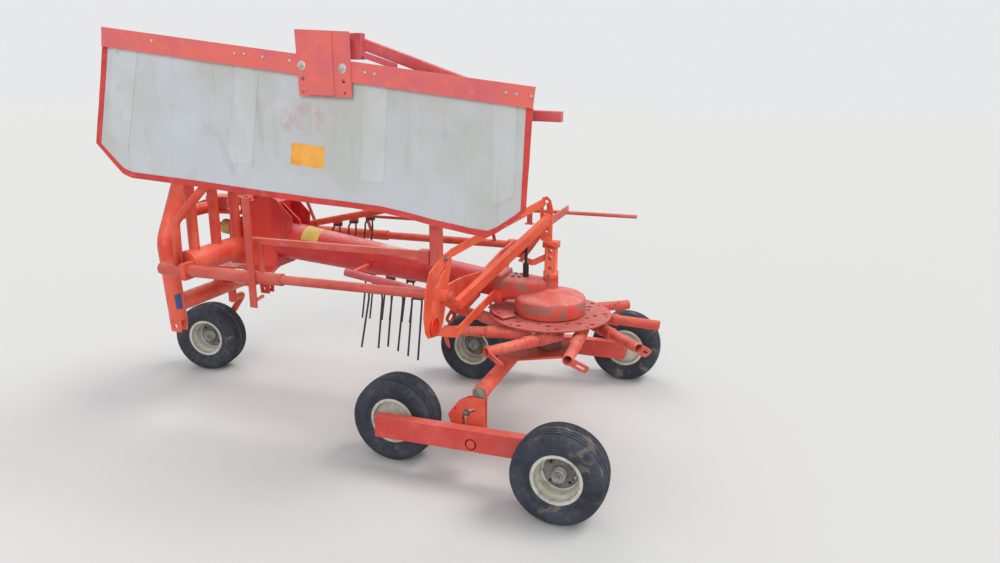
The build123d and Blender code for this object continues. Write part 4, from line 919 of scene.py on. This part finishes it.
def cloth(bm, s0, s1, t0, t1, ns, nt, thick, out=0.0):
    """A closed slab of cloth over part of the sheet, ns by nt faces, standing out from its middle, in mm."""
    sides = []
    for sign in (-1, 1):
        rows = []
        for i in range(ns + 1):
            row = []
            for j in range(nt + 1):
                s = s0 + (s1 - s0) * i / ns
                t = t0 + (t1 - t0) * j / nt
                p = cloth_at(s, t)
                row.append(bm.verts.new(at(p.x, p.y + out + sign * thick / 2, p.z)))
            rows.append(row)
        sides.append(rows)
    for rows in sides:
        for i in range(ns):
            for j in range(nt):
                bm.faces.new((rows[i][j], rows[i + 1][j], rows[i + 1][j + 1], rows[i][j + 1]))
    a, b = sides
    for i in range(ns):
        bm.faces.new((a[i][0], a[i + 1][0], b[i + 1][0], b[i][0]))
        bm.faces.new((a[i][nt], b[i][nt], b[i + 1][nt], a[i + 1][nt]))
    for j in range(nt):
        bm.faces.new((a[0][j], b[0][j], b[0][j + 1], a[0][j + 1]))
        bm.faces.new((a[ns][j], a[ns][j + 1], b[ns][j + 1], b[ns][j]))


bm = bmesh.new()
cloth(bm, 0.001, 0.999, 0.002, 0.999, 150, 48, 2.4)
sheet = piece("curtain_cloth", bm, "curtain", canvas, 60)
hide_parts("curtain")

# Binding on the free edges
bm = bmesh.new()
cloth(bm, 0.0, 0.0135, 0.0, 1.0, 3, 48, 6.0)
cloth(bm, 0.985, 1.0, 0.0, 1.0, 3, 48, 6.0)
cloth(bm, 0.0, 1.0, 0.0, 0.045, 150, 3, 6.2)
edge_binding = piece("curtain_binding", bm, "curtain", binding, 50)

# Sewn pockets for the battens: both sides and the low end as shares of the cloth, with a seam round each
POCKETS = ((0.033, 0.080, 0.215), (0.302, 0.351, 0.225), (0.597, 0.652, 0.22), (0.905, 0.972, 0.20))
bm = bmesh.new()
for low, high, end in POCKETS:
    cloth(bm, low, high, end, 0.97, 5, 40, 1.6, 1.6)
    cloth(bm, low - 0.0012, high + 0.0012, end - 0.007, end + 0.004, 5, 2, 3.4, 1.9)
    for edge in (low - 0.0012, high - 0.0004):
        cloth(bm, edge, edge + 0.0016, end, 0.97, 1, 40, 2.6, 1.9)
battens = piece("curtain_battens", bm, "curtain", hem, 50)

# Blank sticker
bm = bmesh.new()
cloth(bm, 0.4325, 0.508, 0.268, 0.428, 6, 6, 0.6, 1.5)
sticker = piece("curtain_sticker", bm, "curtain", sticker_orange, 50)

# Bolts of the clamp plate on broad washers, and the rivets of the bar: (x, z) in the layout
CLAMP_BOLTS = ((781, 1818), (587, 1806))
RIVETS = ((483, 1790), (439, 1784), (1117, 1869), (1068, 1867), (975, 1854), (841, 1838), (1557, 1926),
          (1772, 1886), (-132, 1715), (-176, 1710), (-236, 1702))
WASHER = [(-0.5, 0), (-0.5, 20), (2, 20), (3, 18.5), (3, 0)]
RIVET = [(-0.5, 0), (-0.5, 6.5), (1, 6.5), (2.6, 5), (3.4, 2.5), (3.6, 0)]
bm = bmesh.new()
for x, z in CLAMP_BOLTS:
    lathe(bm, at(x, 643, z), (0, 1, 0), WASHER, 32)
    bolt(bm, at(x, 645, z), (0, 1, 0), 16, 6, 4)
for x, z in RIVETS:
    lathe(bm, at(x, 640, z), (0, 1, 0), RIVET, 16)
piece("clamp_bolts", bm, "curtain", bolt_pale)

# ---------------------------------------------------------------- fasteners and welds
AXLE_Z, RACK_Z, RACK_BEAD = 400, 855, 63.5
bm = bmesh.new()
bead_bm = bmesh.new()
# On both sides: bracket bolt, beads on the front spindle, axle tube and rack beam, cap on the axle tube's end
for s in (1, -1):
    outward = (0, s, 0)
    bolt(bm, at(60, s * 600, 304), outward, 24, 10, 7)
    bead(bead_bm, at(435, s * 708, WHEEL_Z), outward, 27, 3, 11 + s)
    bead(bead_bm, at(0, s * 558, AXLE_Z), outward, 36, 4, s)
    bead(bead_bm, at(RACK_X, s * 86, RACK_Z), outward, RACK_BEAD, 4.5, 3 + s)
    bead(bead_bm, at(RACK_X, s * 499, RACK_Z), outward, RACK_BEAD, 4, 7 + s)
    lathe(bm, at(0, s * 589.8, AXLE_Z), outward, [(0, 0), (0, 31), (1.6, 31), (2.4, 29.5), (2.4, 0)], 48)
# Cover bolts on the casing's neck, flange bolts, one bolt each on the sector and the mast's sleeve
for x in (-6, 24):
    for y in (-30, 26):
        bolt(bm, at(x, y, 801.4), UP, 15, 7)
for y in (-66, 66):
    for z in (695, 745, 795):
        bolt(bm, at(60.2, y, z), (-1, 0, 0), 15, 6)
bolt(bm, at(184.6, 519, 992), (-1, 0, 0), 19, 8, 5)
bolt(bm, at(ROTOR_X, 37.6, 822), (0, 1, 0), 15, 6)
piece("frame_bolts", bm, "frame", zinc)
bead(bead_bm, at(109, 0, 752), (1, 0, 0), 67, 5, 21)
bead(bead_bm, at(ROTOR_X, 0, 746), UP, 41, 4.5, 22)
piece("frame_welds", bead_bm, "frame", red, 70)

# Greasy seal round the pivot of each tandem beam
SEAL = [(-5, 20.6), (-5, 26.6), (3, 26.6), (4, 25), (4, 20.6)]
for s, side in ((1, "left"), (-1, "right")):
    bm = bmesh.new()
    lathe(bm, at(0, s * 699, WHEEL_Z), (0, s, 0), SEAL, 48, closed=True)
    piece("pivot_seal_" + side, bm, "tandem_" + side, grease, 50)

bm = bmesh.new()
lathe(bm, at(177, 665, 720), (-1, 0, 0), [(-0.2, 0), (-0.2, 42), (2, 42), (3, 41), (3, 39.5)], 48)
piece("reflector_rim", bm, "frame", red)

# ---------------------------------------------------------------- floor, light, camera
FLOOR_SIZE = 40  # m
bm = bmesh.new()
bmesh.ops.create_grid(bm, x_segments=1, y_segments=1, size=FLOOR_SIZE)
mesh = bpy.data.meshes.new("floor")
bm.to_mesh(mesh)
bm.free()
floor = bpy.data.objects.new("floor", mesh)
bpy.context.scene.collection.objects.link(floor)
ground = bpy.data.materials.new("floor")
ground.use_nodes = True
shader = ground.node_tree.nodes["Principled BSDF"]
shader.inputs["Base Color"].default_value = (0.56, 0.56, 0.55, 1)
shader.inputs["Roughness"].default_value = 0.9
mesh.materials.append(ground)

# A soft sky lights the machine; the camera and clear or shiny surfaces see a pale backdrop instead
world = bpy.data.worlds.new("world")
bpy.context.scene.world = world
world.use_nodes = True
tree = world.node_tree
tree.nodes.clear()
out = tree.nodes.new("ShaderNodeOutputWorld")
mixer = tree.nodes.new("ShaderNodeMixShader")
fill = tree.nodes.new("ShaderNodeBackground")
fill.inputs["Color"].default_value = (0.92, 0.95, 1.0, 1)
fill.inputs["Strength"].default_value = 0.62
pale = tree.nodes.new("ShaderNodeBackground")
pale.inputs["Color"].default_value = (0.80, 0.81, 0.82, 1)
pale.inputs["Strength"].default_value = 1.0
path = tree.nodes.new("ShaderNodeLightPath")
first = tree.nodes.new("ShaderNodeMath")
first.operation = "MAXIMUM"
second = tree.nodes.new("ShaderNodeMath")
second.operation = "MAXIMUM"
tree.links.new(path.outputs["Is Camera Ray"], first.inputs[0])
tree.links.new(path.outputs["Is Glossy Ray"], first.inputs[1])
tree.links.new(first.outputs[0], second.inputs[0])
tree.links.new(path.outputs["Is Transmission Ray"], second.inputs[1])
tree.links.new(second.outputs[0], mixer.inputs[0])
tree.links.new(fill.outputs[0], mixer.inputs[1])
tree.links.new(pale.outputs[0], mixer.inputs[2])
tree.links.new(mixer.outputs[0], out.inputs[0])


def lamp(name, place, strength, spread, colour=(1, 1, 1)):
    """A sun of a wide soft spread in degrees, shining from place towards the frame's origin."""
    data = bpy.data.lights.new(name, "SUN")
    data.energy = strength
    data.angle = math.radians(spread)
    data.color = colour
    o = bpy.data.objects.new(name, data)
    o.location = place
    o.rotation_mode = "QUATERNION"
    o.rotation_quaternion = (-Vector(place)).to_track_quat("-Z", "Y")
    bpy.context.scene.collection.objects.link(o)


lamp("key", (-7.5, -3.0, 11.5), 1.75, 28, (1, 0.97, 0.92))
lamp("side", (-3.0, 10.5, 6.0), 1.25, 40)
lamp("back", (6.0, -7.5, 9.0), 0.7, 40)

# Camera fitted to the wheels in the photograph
CAMERA_PLACE = (-1.8666, 3.58, 1.7799)
CAMERA_LENS = 27.493  # mm, on a sensor of 36 mm
CAMERA_TURN = (-71.62, -15.09, 0.235)  # yaw, pitch and roll in degrees
cam_data = bpy.data.cameras.new("camera")
cam_data.lens = CAMERA_LENS
cam_data.sensor_width = 36.0
cam_data.sensor_fit = "HORIZONTAL"
camera = bpy.data.objects.new("camera", cam_data)
bpy.context.scene.collection.objects.link(camera)
yaw, pitch, roll = (math.radians(v) for v in CAMERA_TURN)
ahead = Vector((math.cos(pitch) * math.cos(yaw), math.cos(pitch) * math.sin(yaw), math.sin(pitch)))
flat_right = ahead.cross(Vector((0, 0, 1))).normalized()
flat_up = flat_right.cross(ahead)
right = flat_right * math.cos(roll) + flat_up * math.sin(roll)
up = flat_up * math.cos(roll) - flat_right * math.sin(roll)
turned = Matrix((right, up, -ahead)).transposed().to_4x4()
camera.matrix_world = Matrix.Translation(CAMERA_PLACE) @ turned
cam_data.clip_start = 0.05
cam_data.clip_end = 200
bpy.context.scene.camera = camera
bpy.context.scene.view_settings.view_transform = "Standard"

bpy.context.view_layer.update()
